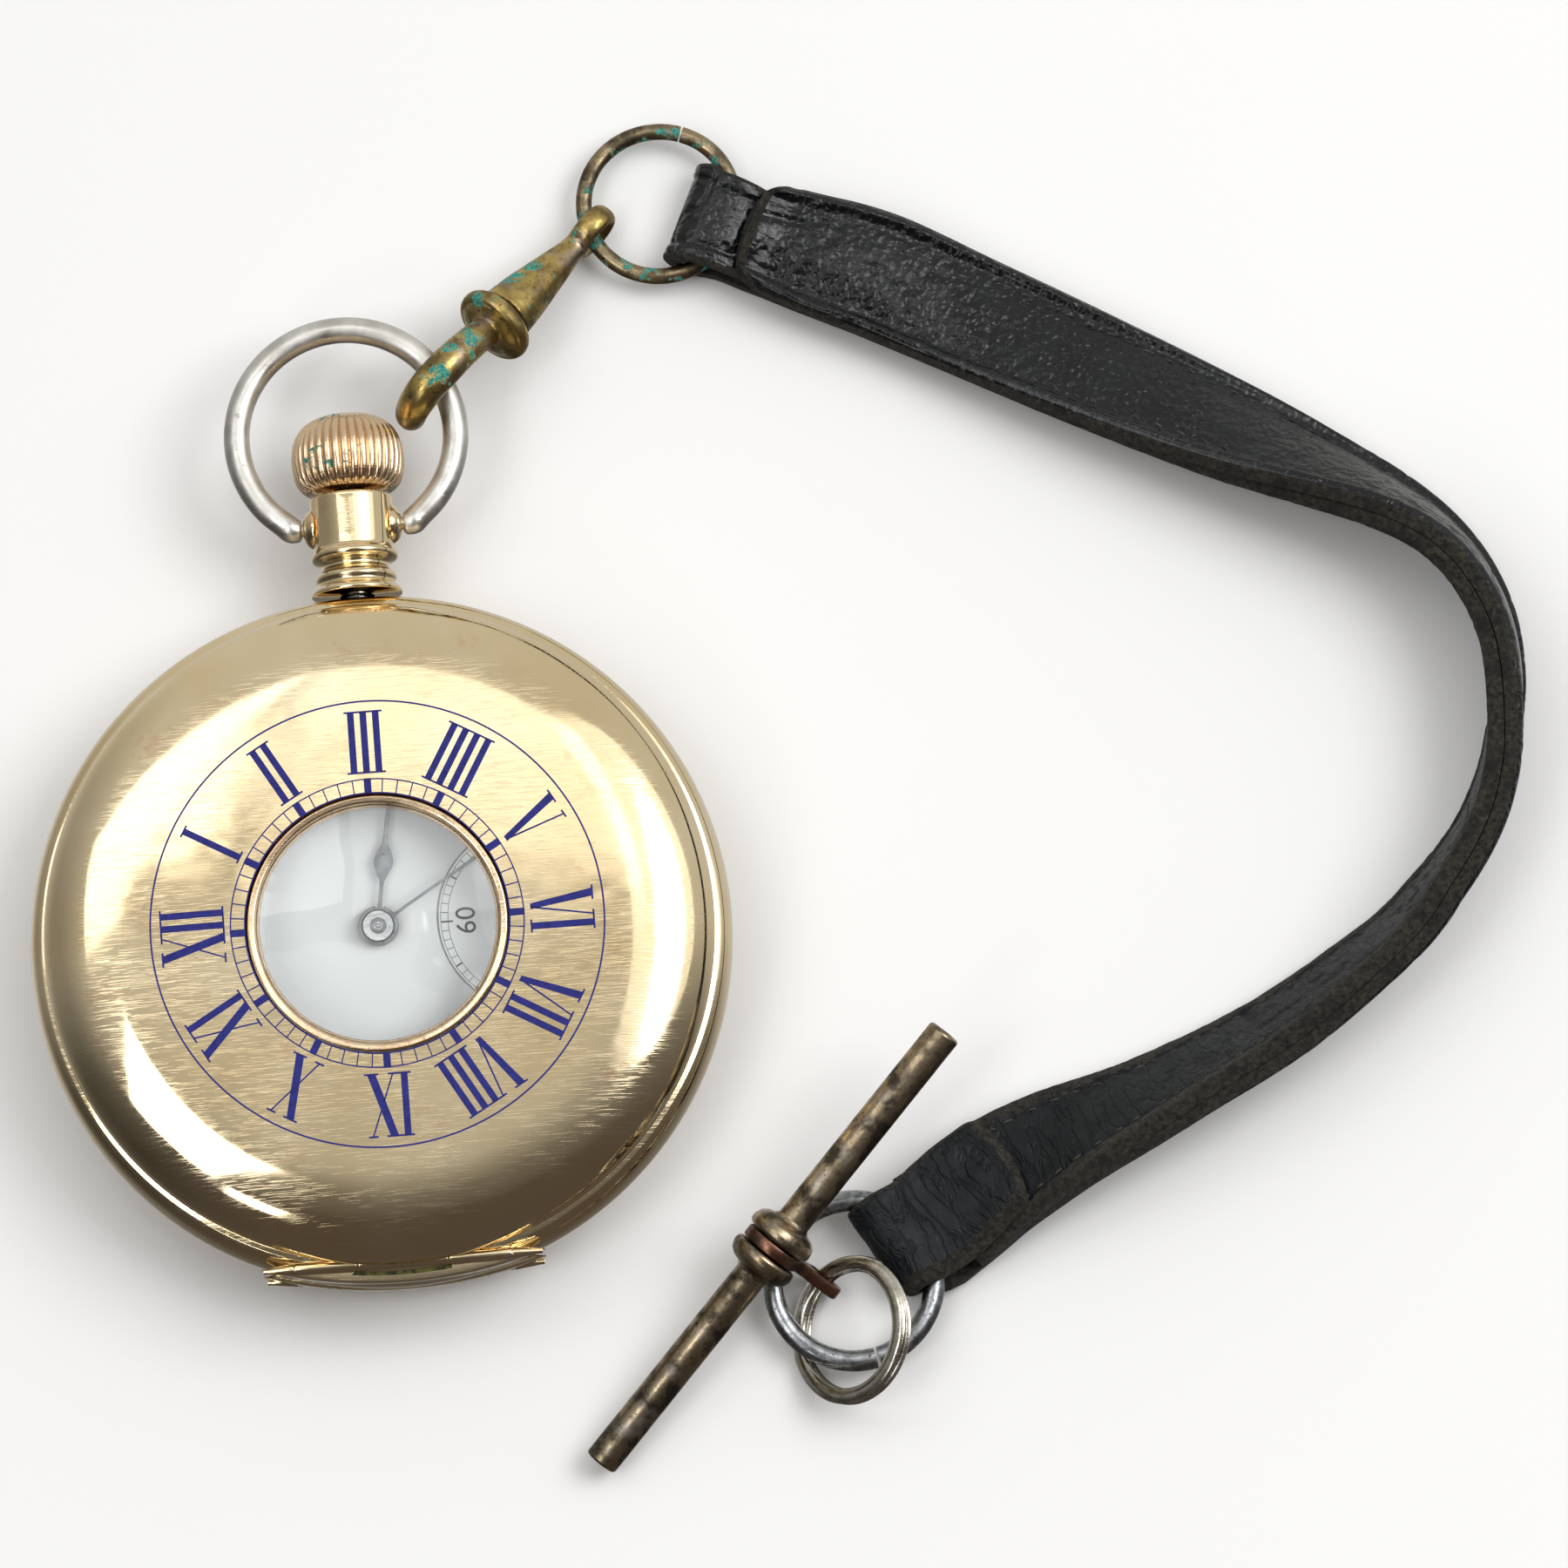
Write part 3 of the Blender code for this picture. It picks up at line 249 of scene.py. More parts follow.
def wire_sections(path, radii, sides, up=Vector((0, 0, 1))):
    """Round sections along a path, each squared to the path and to up."""
    sections = []
    for i, point in enumerate(path):
        before = path[max(i - 1, 0)]
        after = path[min(i + 1, len(path) - 1)]
        along = (after - before).normalized()
        across = along.cross(up).normalized()
        over = across.cross(along).normalized()
        ring = []
        for k in range(sides):
            turn = math.tau * k / sides
            ring.append(point + (across * math.cos(turn) + over * math.sin(turn)) * radii[i])
        sections.append(ring)
    return sections


def wire_along(samples, sides, up=Vector((0, 0, 1))):
    """A capped wire through samples of x, y, z and radius."""
    return loft(wire_sections([Vector(s[:3]) for s in samples], [s[3] for s in samples], sides, up))


def prism(outline, bottom, top, holes=(), bevel=0.0, bm=None):
    """A flat plate of an outline with holes; bevel rounds its top and bottom rims."""
    made = bmesh.new()
    for loop in (outline, *holes):
        verts = [made.verts.new((x, y, bottom)) for x, y in loop]
        for i, vert in enumerate(verts):
            made.edges.new((vert, verts[(i + 1) % len(verts)]))
    bmesh.ops.triangle_fill(made, edges=made.edges, use_beauty=True)
    grown = bmesh.ops.extrude_face_region(made, geom=list(made.faces))
    raised = [v for v in grown["geom"] if isinstance(v, bmesh.types.BMVert)]
    bmesh.ops.translate(made, verts=raised, vec=(0, 0, top - bottom))
    bmesh.ops.recalc_face_normals(made, faces=made.faces)
    if bevel:
        rims = [e for e in made.edges if len(e.link_faces) == 2 and e.calc_face_angle() > 1.2
                and abs(e.verts[0].co.z - e.verts[1].co.z) < 1e-6]
        bmesh.ops.bevel(made, geom=rims, offset=bevel, segments=2, profile=0.5, affect="EDGES")
    return joined(bm, made)


def mesh_of(bm, name):
    """The mesh of a bmesh, which is freed."""
    mesh = bpy.data.meshes.new(name)
    bm.to_mesh(mesh)
    bm.free()
    return mesh


def added(mesh, bm):
    """The bmesh with a mesh added to it. The mesh is removed."""
    bm.from_mesh(mesh)
    bpy.data.meshes.remove(mesh)
    return bm


def placed(name, data):
    """A new object of the scene."""
    obj = bpy.data.objects.new(name, data)
    bpy.context.collection.objects.link(obj)
    return obj


def as_evaluated(obj):
    """A new mesh of the object with its modifiers applied. The object is removed."""
    mesh = bpy.data.meshes.new_from_object(obj.evaluated_get(bpy.context.evaluated_depsgraph_get()))
    bpy.data.objects.remove(obj)
    return mesh


def joined(bm, other, place=None):
    """Adds another bmesh, moved to place, to bm. It frees the other one."""
    if place is not None:
        bmesh.ops.transform(other, matrix=place, verts=other.verts)
    return other if bm is None else added(mesh_of(other, "joining"), bm)


def fused(bm):
    """The overlapping shapes of bm as one worn skin, by a voxel remesh and a smooth."""
    bmesh.ops.recalc_face_normals(bm, faces=bm.faces)
    obj = placed("fusing", mesh_of(bm, "fusing"))
    remesh = obj.modifiers.new("remesh", "REMESH")
    remesh.mode = "VOXEL"
    remesh.voxel_size = BRASS_VOXEL
    smooth = obj.modifiers.new("smooth", "SMOOTH")
    smooth.factor = 0.5
    smooth.iterations = BRASS_SMOOTHS
    return added(as_evaluated(obj), bmesh.new())


def piece(name, bm, finish, body, replaced=(), place=None, sharp=38):
    """Makes the object of a bmesh drawn in millimetres and ties it to its CAD body."""
    if place is not None:
        bmesh.ops.transform(bm, matrix=place, verts=bm.verts)
    bmesh.ops.scale(bm, vec=(MM, MM, MM), verts=bm.verts)
    bmesh.ops.recalc_face_normals(bm, faces=bm.faces)
    mesh = mesh_of(bm, name)
    obj = placed(name, mesh)
    for material in finish if isinstance(finish, list) else [finish]:
        mesh.materials.append(material)
    mesh.shade_smooth()
    mesh.set_sharp_from_angle(angle=math.radians(sharp))
    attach(obj, body)
    if replaced:
        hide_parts(*replaced)
    return obj


# ---------------------------------------------------------------- material nodes

class Finish:
    """A Principled material and short calls for the nodes that feed it."""

    def __init__(self, name, **constants):
        self.material = bpy.data.materials.new(name)
        self.material.use_nodes = True
        self.tree = self.material.node_tree
        self.shader = self.tree.nodes["Principled BSDF"]
        for key, value in constants.items():
            self.shader.inputs[key.replace("_", " ")].default_value = value
        place = self.node("ShaderNodeTexCoord").outputs["Object"]
        self.mm = self.mapped(place, scale=(1000, 1000, 1000))

    def lie(self):
        """Millimetres across and along the strap, from the plies' own UV map."""
        return self.mapped(self.node("ShaderNodeUVMap", uv_map="lie").outputs[0], (1000, 1000, 1000))

    def node(self, kind, inputs=None, **settings):
        made = self.tree.nodes.new(kind)
        for key, value in settings.items():
            setattr(made, key, value)
        for key, value in (inputs or {}).items():
            if isinstance(value, bpy.types.NodeSocket):
                self.tree.links.new(value, made.inputs[key])
            else:
                made.inputs[key].default_value = value
        return made

    def mapped(self, vector, scale=(1, 1, 1), turn=(0, 0, 0), shift=(0, 0, 0)):
        inputs = {"Vector": vector, "Scale": scale, "Rotation": turn, "Location": shift}
        return self.node("ShaderNodeMapping", inputs).outputs[0]

    def noise(self, scale, detail=3.0, rough=0.55, vector=None, distortion=0.0):
        inputs = {"Vector": vector or self.mm, "Scale": scale, "Detail": detail, "Roughness": rough,
                  "Distortion": distortion}
        return self.node("ShaderNodeTexNoise", inputs).outputs["Fac"]

    def cells(self, scale, smoothness, vector):
        inputs = {"Vector": vector, "Scale": scale, "Smoothness": smoothness}
        return self.node("ShaderNodeTexVoronoi", inputs, feature="SMOOTH_F1").outputs["Distance"]

    def math(self, operation, a, b=0.5):
        return self.node("ShaderNodeMath", {0: a, 1: b}, operation=operation).outputs[0]

    def span(self, value, start, end, low=0.0, high=1.0):
        inputs = {"Value": value, "From Min": start, "From Max": end, "To Min": low, "To Max": high}
        return self.node("ShaderNodeMapRange", inputs).outputs[0]

    def mix(self, factor, a, b):
        made = self.node("ShaderNodeMix", data_type="RGBA")
        for index, value in ((0, factor), (6, a), (7, b)):
            if isinstance(value, bpy.types.NodeSocket):
                self.tree.links.new(value, made.inputs[index])
            elif index:
                made.inputs[index].default_value = (*value, 1.0)
            else:
                made.inputs[index].default_value = value
        return made.outputs[2]

    def scratches(self, angles, fine, least):
        """Thin straight marks in a few directions, each in patches of its own."""
        length = 0.35
        found = []
        for number, angle in enumerate(angles):
            turn = (0, 0, math.radians(angle))
            turned = self.mapped(self.mm, (length, fine, length), turn, (number * 9.7, 3.1, 0))
            streak = self.span(self.noise(1.0, 1.0, vector=turned), least, least + 0.06)
            elsewhere = self.mapped(self.mm, shift=(number * 31, 0, 0))
            patch = self.span(self.noise(0.12, 1.0, vector=elsewhere), 0.42, 0.62)
            found.append(self.math("MULTIPLY", streak, patch))
        return self.any_of(found)

    def blot(self, centre, radius):
        """1 within a ragged patch round a place, 0 outside it."""
        ragged = 0.5
        inputs = {0: self.mm, 1: tuple(centre)}
        away = self.node("ShaderNodeVectorMath", inputs, operation="DISTANCE").outputs["Value"]
        wobble = self.span(self.noise(1.6, 3.0), 0.25, 0.75, -ragged, ragged)
        reach = self.math("ADD", away, self.math("MULTIPLY", wobble, radius))
        return self.span(reach, radius * 0.85, radius * 1.1, 1.0, 0.0)

    def any_of(self, masks):
        total = masks[0]
        for mask in masks[1:]:
            total = self.math("MAXIMUM", total, mask)
        return total

    def link(self, socket, name):
        self.tree.links.new(socket, self.shader.inputs[name])

    def clouds(self, scale, detail, start, end, low, high, vector=None):
        """A number that drifts between low and high in soft clouds."""
        return self.span(self.noise(scale, detail, vector=vector), start, end, low, high)

    def two_tones(self, scale, detail, start, end, first, second):
        """One colour in clouds over the other, straight to the shader."""
        self.link(self.mix(self.clouds(scale, detail, start, end, 0.0, 1.0), first, second), "Base Color")

    def gloss(self, scale, detail, low, high, vector=None):
        """Uneven roughness, straight to the shader."""
        self.link(self.clouds(scale, detail, 0.3, 0.7, low, high, vector), "Roughness")

    def bump(self, layers):
        """Bump nodes in a chain, each layer as (height, strength, distance in mm)."""
        normal = None
        for height, strength, distance in layers:
            inputs = {"Height": height, "Strength": strength, "Distance": distance * MM}
            if normal is not None:
                inputs["Normal"] = normal
            normal = self.node("ShaderNodeBump", inputs).outputs[0]
        self.link(normal, "Normal")


def gold_finish(name, crusted=False):
    """Polished gold, softly dented, with hairline scratches and rosy worn places. Crusted has green salts."""
    f = Finish(name, Metallic=1.0)
    cloud = f.noise(0.09, 3.0)
    fine = f.noise(1.4, 3.0)
    colour = f.mix(f.span(cloud, 0.35, 0.68), (0.87, 0.70, 0.42), (0.95, 0.80, 0.54))
    rosy = f.math("MULTIPLY", f.span(f.noise(0.22, 4.0), 0.60, 0.74), f.span(fine, 0.42, 0.6))
    colour = f.mix(f.math("MULTIPLY", rosy, 0.5), colour, (0.80, 0.43, 0.24))
    marks = f.scratches((12, 48, 77, 121, 160), 14.0, 0.635)
    haze = f.span(f.noise(0.16, 4.0), 0.35, 0.72, 0.05, 0.13)
    rough = f.math("ADD", haze, f.math("MULTIPLY", marks, 0.14))
    if crusted:
        colour = f.mix(0.6, colour, (0.82, 0.56, 0.38))
        rough = f.math("ADD", rough, 0.12)
        grains = f.span(f.noise(1.5, 4.0), 0.56, 0.64)
        salts = f.math("MULTIPLY", grains, f.span(f.noise(0.35, 2.0), 0.45, 0.55))
        colour = f.mix(salts, colour, (0.045, 0.20, 0.15))
        rough = f.math("MAXIMUM", rough, f.math("MULTIPLY", salts, 0.8))
        f.link(f.span(salts, 0.0, 1.0, 1.0, 0.1), "Metallic")
    f.link(colour, "Base Color")
    f.link(rough, "Roughness")
    f.bump(((f.noise(0.16, 2.0), 0.10, 0.35), (marks, 0.11, 0.02), (f.noise(9.0, 2.0), 0.03, 0.01)))
    return f.material


def metal_finish(name, light, dark, rough, grain=0.6, grime=(0.05, 0.035, 0.02), dirt=0.62, marks=0.12):
    """A plain worn metal: two tones in clouds, grime in patches, fine scratches and dents."""
    f = Finish(name, Metallic=1.0)
    tone = f.mix(f.span(f.noise(grain, 4.0), 0.35, 0.65), dark, light)
    soiled = f.span(f.noise(grain * 2.2, 5.0, 0.6), dirt, dirt + 0.12)
    f.link(f.mix(f.math("MULTIPLY", soiled, 0.8), tone, grime), "Base Color")
    lines = f.scratches((20, 95, 150), 9.0, 0.62)
    base = f.clouds(grain * 1.3, 4.0, 0.3, 0.7, rough * 0.75, rough * 1.35)
    marked = f.math("ADD", base, f.math("MULTIPLY", lines, marks))
    f.link(f.math("ADD", marked, f.math("MULTIPLY", soiled, 0.25)), "Roughness")
    f.bump(((f.noise(grain * 4, 4.0), 0.14, 0.06), (lines, 0.18, 0.02)))
    return f.material


def patina_finish(name, bright, brown, pale, spots, green=0.0):
    """Tarnished brass or bronze: brown over bright metal, pale worn places, and green salts in spots."""
    f = Finish(name)
    worn = f.span(f.noise(0.55, 5.0, 0.6), 0.40, 0.60)
    colour = f.mix(worn, brown, bright)
    rubbed = f.span(f.noise(0.42, 3.0, vector=f.mapped(f.mm, shift=(40, 9, 0))), 0.55, 0.7)
    colour = f.mix(f.math("MULTIPLY", rubbed, 0.75), colour, pale)
    pits = f.span(f.noise(3.4, 3.0), 0.60, 0.70)
    colour = f.mix(f.math("MULTIPLY", pits, 0.7), colour, (0.045, 0.032, 0.018))
    salts = [f.blot(centre, radius) for centre, radius in spots]
    if green:
        elsewhere = f.mapped(f.mm, shift=(7, 70, 3))
        salts.append(f.span(f.noise(0.75, 4.0, vector=elsewhere), 0.66 - green, 0.70 - green))
    mask = f.math("MULTIPLY", f.any_of(salts), f.span(f.noise(2.6, 4.0), 0.36, 0.5)) if salts else None
    rough = f.span(worn, 0.0, 1.0, 0.48, 0.27)
    heights = [(f.noise(1.6, 5.0), 0.30, 0.10), (pits, -0.25, 0.03)]
    if mask is None:
        f.shader.inputs["Metallic"].default_value = 1.0
        f.link(rough, "Roughness")
    else:
        crust = f.mix(f.span(f.noise(5.0, 3.0), 0.4, 0.6), (0.012, 0.16, 0.13), (0.05, 0.36, 0.29))
        colour = f.mix(mask, colour, crust)
        f.link(f.span(mask, 0.0, 1.0, 1.0, 0.0), "Metallic")
        f.link(f.math("MAXIMUM", rough, f.math("MULTIPLY", mask, 0.85)), "Roughness")
        heights.append((mask, 0.35, 0.08))
    f.link(colour, "Base Color")
    f.bump(heights)
    return f.material


def plate_finish():
    """Nickel with the wavy bands that a rose engine leaves."""
    f = Finish("nickel_banded", Metallic=1.0)
    turned = f.mapped(f.mm, (1, 1, 1), (0, 0, math.radians(35)))
    inputs = {"Vector": turned, "Scale": 0.16, "Distortion": 1.2, "Detail": 1.0, "Detail Scale": 0.3}
    wave = f.node("ShaderNodeTexWave", inputs, wave_type="BANDS").outputs["Fac"]
    f.link(f.mix(wave, (0.52, 0.50, 0.46), (0.78, 0.76, 0.71)), "Base Color")
    f.link(f.span(wave, 0.0, 1.0, 0.20, 0.36), "Roughness")
    f.bump(((wave, 0.12, 0.05), (f.noise(12, 2.0), 0.06, 0.01)))
    return f.material


def enamel_finish():
    f = Finish("enamel_white", Metallic=0.0, Coat_Weight=0.6, Coat_Roughness=0.03)
    f.two_tones(0.25, 3.0, 0.3, 0.7, (0.95, 0.96, 0.96), (0.97, 0.98, 0.98))
    f.gloss(0.5, 2.0, 0.10, 0.18)
    f.bump(((f.noise(0.35, 2.0), 0.05, 0.1),))
    return f.material


def inlay_finish(name, deep, light, rough):
    """Enamel or ink let into a surface, with a slightly uneven fill; also the grey of painted shade on the
    seconds dial's step.
    """
    f = Finish(name, Metallic=0.0, Specular_IOR_Level=0.25)
    f.two_tones(1.8, 4.0, 0.35, 0.65, deep, light)
    f.gloss(3.0, 2.0, rough * 0.7, rough * 1.3)
    f.bump(((f.noise(6.0, 2.0), 0.08, 0.01),))
    return f.material


def glass_finish():
    """Clear glass that lets lamplight through to the dial, with the faintest smears."""
    f = Finish("glass_clear", Base_Color=(0.97, 0.98, 0.98, 1.0), IOR=1.45, Transmission_Weight=1.0)
    f.link(f.span(f.noise(0.4, 4.0), 0.45, 0.75, 0.0, 0.05), "Roughness")
    clear = f.node("ShaderNodeBsdfTransparent", {"Color": (0.99, 0.995, 0.995, 1.0)})
    path = f.node("ShaderNodeLightPath").outputs["Is Shadow Ray"]
    both = f.node("ShaderNodeMixShader", {0: path, 1: f.shader.outputs[0], 2: clear.outputs[0]})
    f.tree.links.new(both.outputs[0], f.tree.nodes["Material Output"].inputs["Surface"])
    return f.material


def leather_finish():
    """Black glazed leather: pebbled grain, creases across the strap and duller rubbed places."""
    f = Finish("leather_grain", Metallic=0.0, Specular_IOR_Level=0.3, Coat_Weight=0.35, Coat_Roughness=0.11)
    lie = f.lie()
    drift = f.node("ShaderNodeTexNoise", {"Vector": lie, "Scale": 0.9, "Detail": 2.0}).outputs["Color"]
    shaken = f.node("ShaderNodeVectorMath", {0: lie, 1: drift}, operation="ADD").outputs[0]
    pebble = f.cells(1.75, 0.35, shaken)
    crease = f.noise(1.0, 3.0, vector=f.mapped(lie, (0.5, 0.3, 1.0)), distortion=0.8)
    fine = f.noise(5.0, 3.0, vector=lie)
    rubbed = f.span(f.noise(0.16, 3.0, vector=lie), 0.42, 0.66)
    dusty = f.math("MULTIPLY", f.span(f.noise(2.2, 5.0, vector=lie), 0.52, 0.72), 0.55)
    colour = f.mix(rubbed, (0.0015, 0.002, 0.003), (0.0035, 0.005, 0.007))
    f.link(f.mix(dusty, colour, (0.012, 0.014, 0.017)), "Base Color")
    rough = f.math("ADD", f.span(rubbed, 0, 1, 0.16, 0.32), f.span(fine, 0.3, 0.7, -0.05, 0.12))
    f.link(rough, "Roughness")
    f.bump(((f.span(crease, 0.36, 0.62), 0.30, 0.10), (pebble, 1.0, 0.17), (fine, 0.25, 0.03)))
    return f.material


def smooth_leather_finish():
    """The strap's flat black side: dull, with fine scuffs and hair-thin creases."""
    f = Finish("leather_smooth", Metallic=0.0, Specular_IOR_Level=0.28)
    lie = f.lie()
    cloud = f.span(f.noise(0.35, 4.0, vector=lie), 0.35, 0.65)
    colour = f.mix(cloud, (0.003, 0.0045, 0.006), (0.009, 0.012, 0.014))
    scuffs = f.span(f.noise(3.0, 5.0, 0.7, lie), 0.58, 0.72)
    f.link(f.mix(f.math("MULTIPLY", scuffs, 0.35), colour, (0.035, 0.036, 0.036)), "Base Color")
    f.gloss(2.0, 3.0, 0.42, 0.58, lie)
    lines = f.noise(1.0, 4.0, vector=f.mapped(lie, (0.22, 0.75, 1.0)), distortion=0.7)
    wrinkle = f.math("ABSOLUTE", f.math("SUBTRACT", lines, 0.5))
    f.bump(((f.span(wrinkle, 0.0, 0.06), 0.6, 0.17), (f.noise(2.2, 4.0, vector=lie), 0.4, 0.10),
            (f.noise(7.0, 3.0, vector=lie), 0.35, 0.03)))
    return f.material


def suede_finish():
    """The cut edges and flesh side of the leather."""
    f = Finish("leather_cut_edge", Metallic=0.0, Specular_IOR_Level=0.2, Sheen_Weight=0.06,
               Sheen_Roughness=0.6)
    fibre = f.noise(2.4, 5.0, 0.65)
    colour = f.mix(f.span(fibre, 0.35, 0.68), (0.0045, 0.0042, 0.0036), (0.052, 0.046, 0.034))
    f.link(f.mix(f.span(f.noise(0.5, 3.0), 0.52, 0.7), colour, (0.010, 0.0095, 0.009)), "Base Color")
    f.link(f.span(fibre, 0.3, 0.7, 0.75, 0.95), "Roughness")
    f.bump(((fibre, 1.0, 0.28), (f.noise(9.0, 3.0), 0.8, 0.08)))
    return f.material


def thread_finish():
    f = Finish("waxed_thread", Metallic=0.0)
    f.two_tones(1.3, 4.0, 0.40, 0.62, (0.008, 0.0075, 0.007), (0.055, 0.046, 0.035))
    f.gloss(8.0, 2.0, 0.45, 0.7)
    f.bump(((f.noise(14.0, 2.0), 0.5, 0.02),))
    return f.material


def floor_finish():
    f = Finish("floor_pale", Metallic=0.0)
    f.link(f.mix(f.noise(0.004, 2.0), (0.88, 0.88, 0.88), (0.91, 0.91, 0.91)), "Base Color")
    f.gloss(0.05, 2.0, 0.55, 0.65)
    return f.material


# ---------------------------------------------------------------- the albert's frames, from its joints

CLIP_AT = joint_at("clip_swivel_turn")
CLIP_AXIS = joint_axis("clip_swivel_turn")
CLIP_SIDE = Vector((0, 0, 1)).cross(CLIP_AXIS).normalized()
CLIP = at(*CLIP_AT) @ Matrix((CLIP_AXIS, CLIP_SIDE, CLIP_AXIS.cross(CLIP_SIDE))).transposed().to_4x4()
BAR_AT = joint_at("t_bar_turn")
BAR_AXIS = joint_axis("t_bar_turn")
BAR = facing(BAR_AT, BAR_AXIS)


def on_clip(x, y, z):
    return CLIP @ Vector((x, y, z))


# ---------------------------------------------------------------- the finishes in use

GOLD = gold_finish("gold_polished")
CROWN_GOLD = gold_finish("gold_crown", crusted=True)
ROSE = metal_finish(
    "rose_gold_worn", (0.93, 0.73, 0.50), (0.82, 0.58, 0.37), 0.14, 0.9, (0.20, 0.07, 0.03), 0.62, 0.05)
SILVER = metal_finish(
    "silver_worn", (0.83, 0.82, 0.78), (0.64, 0.62, 0.57), 0.36, 0.5, (0.20, 0.17, 0.12), 0.66)
COIL_SILVER = metal_finish(
    "nickel_silver_ring", (0.78, 0.76, 0.69), (0.50, 0.47, 0.39), 0.20, 0.8, (0.12, 0.10, 0.06), 0.63)
DARK_STEEL = metal_finish(
    "steel_pitted", (0.50, 0.52, 0.54), (0.20, 0.21, 0.23), 0.28, 1.1, (0.03, 0.028, 0.026), 0.57)
STEEL = metal_finish(
    "steel_polished", (0.60, 0.60, 0.60), (0.45, 0.46, 0.47), 0.18, 0.6, (0.2, 0.18, 0.15), 0.72)
BLUE_STEEL = metal_finish(
    "steel_blued", (0.10, 0.15, 0.34), (0.05, 0.08, 0.20), 0.22, 0.9, (0.04, 0.04, 0.06), 0.7)
HAND_STEEL = metal_finish(
    "steel_hands", (0.34, 0.36, 0.38), (0.20, 0.21, 0.225), 0.32, 1.2, (0.07, 0.07, 0.07), 0.66)
BRASS = metal_finish(
    "brass_train", (0.80, 0.62, 0.30), (0.66, 0.48, 0.20), 0.22, 0.7, (0.3, 0.2, 0.08), 0.72)
GILT = metal_finish(
    "gilt_inner", (0.86, 0.66, 0.32), (0.76, 0.56, 0.25), 0.16, 0.2, (0.45, 0.30, 0.12), 0.72)
# Where the clip is green, and how wide each spot is.
CLIP_SALTS = (
    (on_clip(-7.6, -0.3, 2.4), 0.75), (on_clip(-5.6, 0.5, 2.7), 0.6), (on_clip(-3.6, 0.1, 2.4), 0.8),
    (on_clip(-4.6, -1.0, 2.3), 0.45), (on_clip(3.4, 1.4, 1.2), 0.9), (on_clip(5.2, 0.9, 1.1), 0.7),
    (on_clip(-0.4, 1.8, 2.1), 0.6),
)
OLD_BRASS = patina_finish(
    "brass_green_patina", (0.60, 0.44, 0.15), (0.22, 0.16, 0.065), (0.50, 0.40, 0.33), CLIP_SALTS, 0.03)
OLD_BRONZE = patina_finish(
    "bronze_tarnished", (0.42, 0.33, 0.20), (0.12, 0.095, 0.06), (0.34, 0.33, 0.27), (), 0.10)
BAR_BRONZE = patina_finish(
    "bar_tarnished", (0.44, 0.35, 0.23), (0.075, 0.062, 0.048), (0.45, 0.40, 0.34), ())
COPPER = patina_finish(
    "copper_dark", (0.28, 0.14, 0.09), (0.08, 0.05, 0.038), (0.30, 0.21, 0.17), ())
NICKEL = plate_finish()
ENAMEL = enamel_finish()
BLUE = inlay_finish("enamel_blue", (0.010, 0.012, 0.15), (0.018, 0.022, 0.22), 0.5)
# Grey of painted shade for the wall and foot of the seconds dial's sunk step.
STEP_SHADE = inlay_finish("seconds_step_painted_shade", (0.30, 0.31, 0.32), (0.46, 0.47, 0.48), 0.5)
INK = inlay_finish("dial_black", (0.012, 0.012, 0.014), (0.03, 0.03, 0.034), 0.4)
DIRT = inlay_finish("hinge_dirt", (0.02, 0.022, 0.008), (0.12, 0.11, 0.03), 0.8)
GLASS = glass_finish()
LEATHER = leather_finish()
SMOOTH_LEATHER = smooth_leather_finish()
SUEDE = suede_finish()
THREAD = thread_finish()


# ---------------------------------------------------------------- covers and case

def lid_outline():
    """Outside of the front cover from its rim to its middle, from the CAD cover's size."""
    top = high("front_cover").z
    edge = LID_RADIUS
    rim = MID_Z + HINGE_LIFT
    points = [(edge - 0.15, rim), (edge, rim + 0.45), (edge - 0.2, rim + 1.4), (edge - 1.05, rim + 2.5),
              (edge - 2.75, rim + 3.46), (edge - 5.35, top - 0.22), (16.0, top - 0.05), (12.5, top + 0.04),
              (9.75, top + 0.07), (5.0, top + 0.085), (0.0, top + 0.09)]
    return spline(points, 10)


LID = lid_outline()


def lid_height(radius):
    """Height of the front cover's outside at this radius."""
    for (r1, z1), (r0, z0) in zip(LID, LID[1:]):
        if r0 <= radius <= r1 and z0 > MID_Z + HINGE_LIFT + 1.0:
            return z0 + (z1 - z0) * (radius - r0) / max(r1 - r0, 1e-9)
    return LID[-1][1]


def cover_shell(hole):
    """Outer and inner profiles of a cover with a hole of this radius, or closed where it is 0."""
    outside = [point for point in LID if point[0] >= hole]
    rim = MID_Z + HINGE_LIFT
    inside = [(max(hole, 0.0), outside[-1][1] - COVER_WALL), (17.0, outside[-1][1] - 0.66), (20.4, rim + 3.2),
              (22.8, rim + 2.25), (23.9, rim + 1.0), (24.1, rim)]
    inside = [inside[0]] + spline(inside[1:], 5)
    return outside, inside


def knuckle(start, end, side, radii=(KNUCKLE_RADIUS, KNUCKLE_RADIUS)):
    """One barrel of a hinge, on the front cover's line (side 1) or the back cover's (side -1)."""
    profile = rounded([(0, start), (radii[0], start), (radii[1], end), (0, end)], 0.10, 3)
    bm = revolve(profile, 24)
    bmesh.ops.transform(bm, matrix=at(0, HINGE_Y, MID_Z + side * HINGE_LIFT) @ ALONG_X, verts=bm.verts)
    return bm


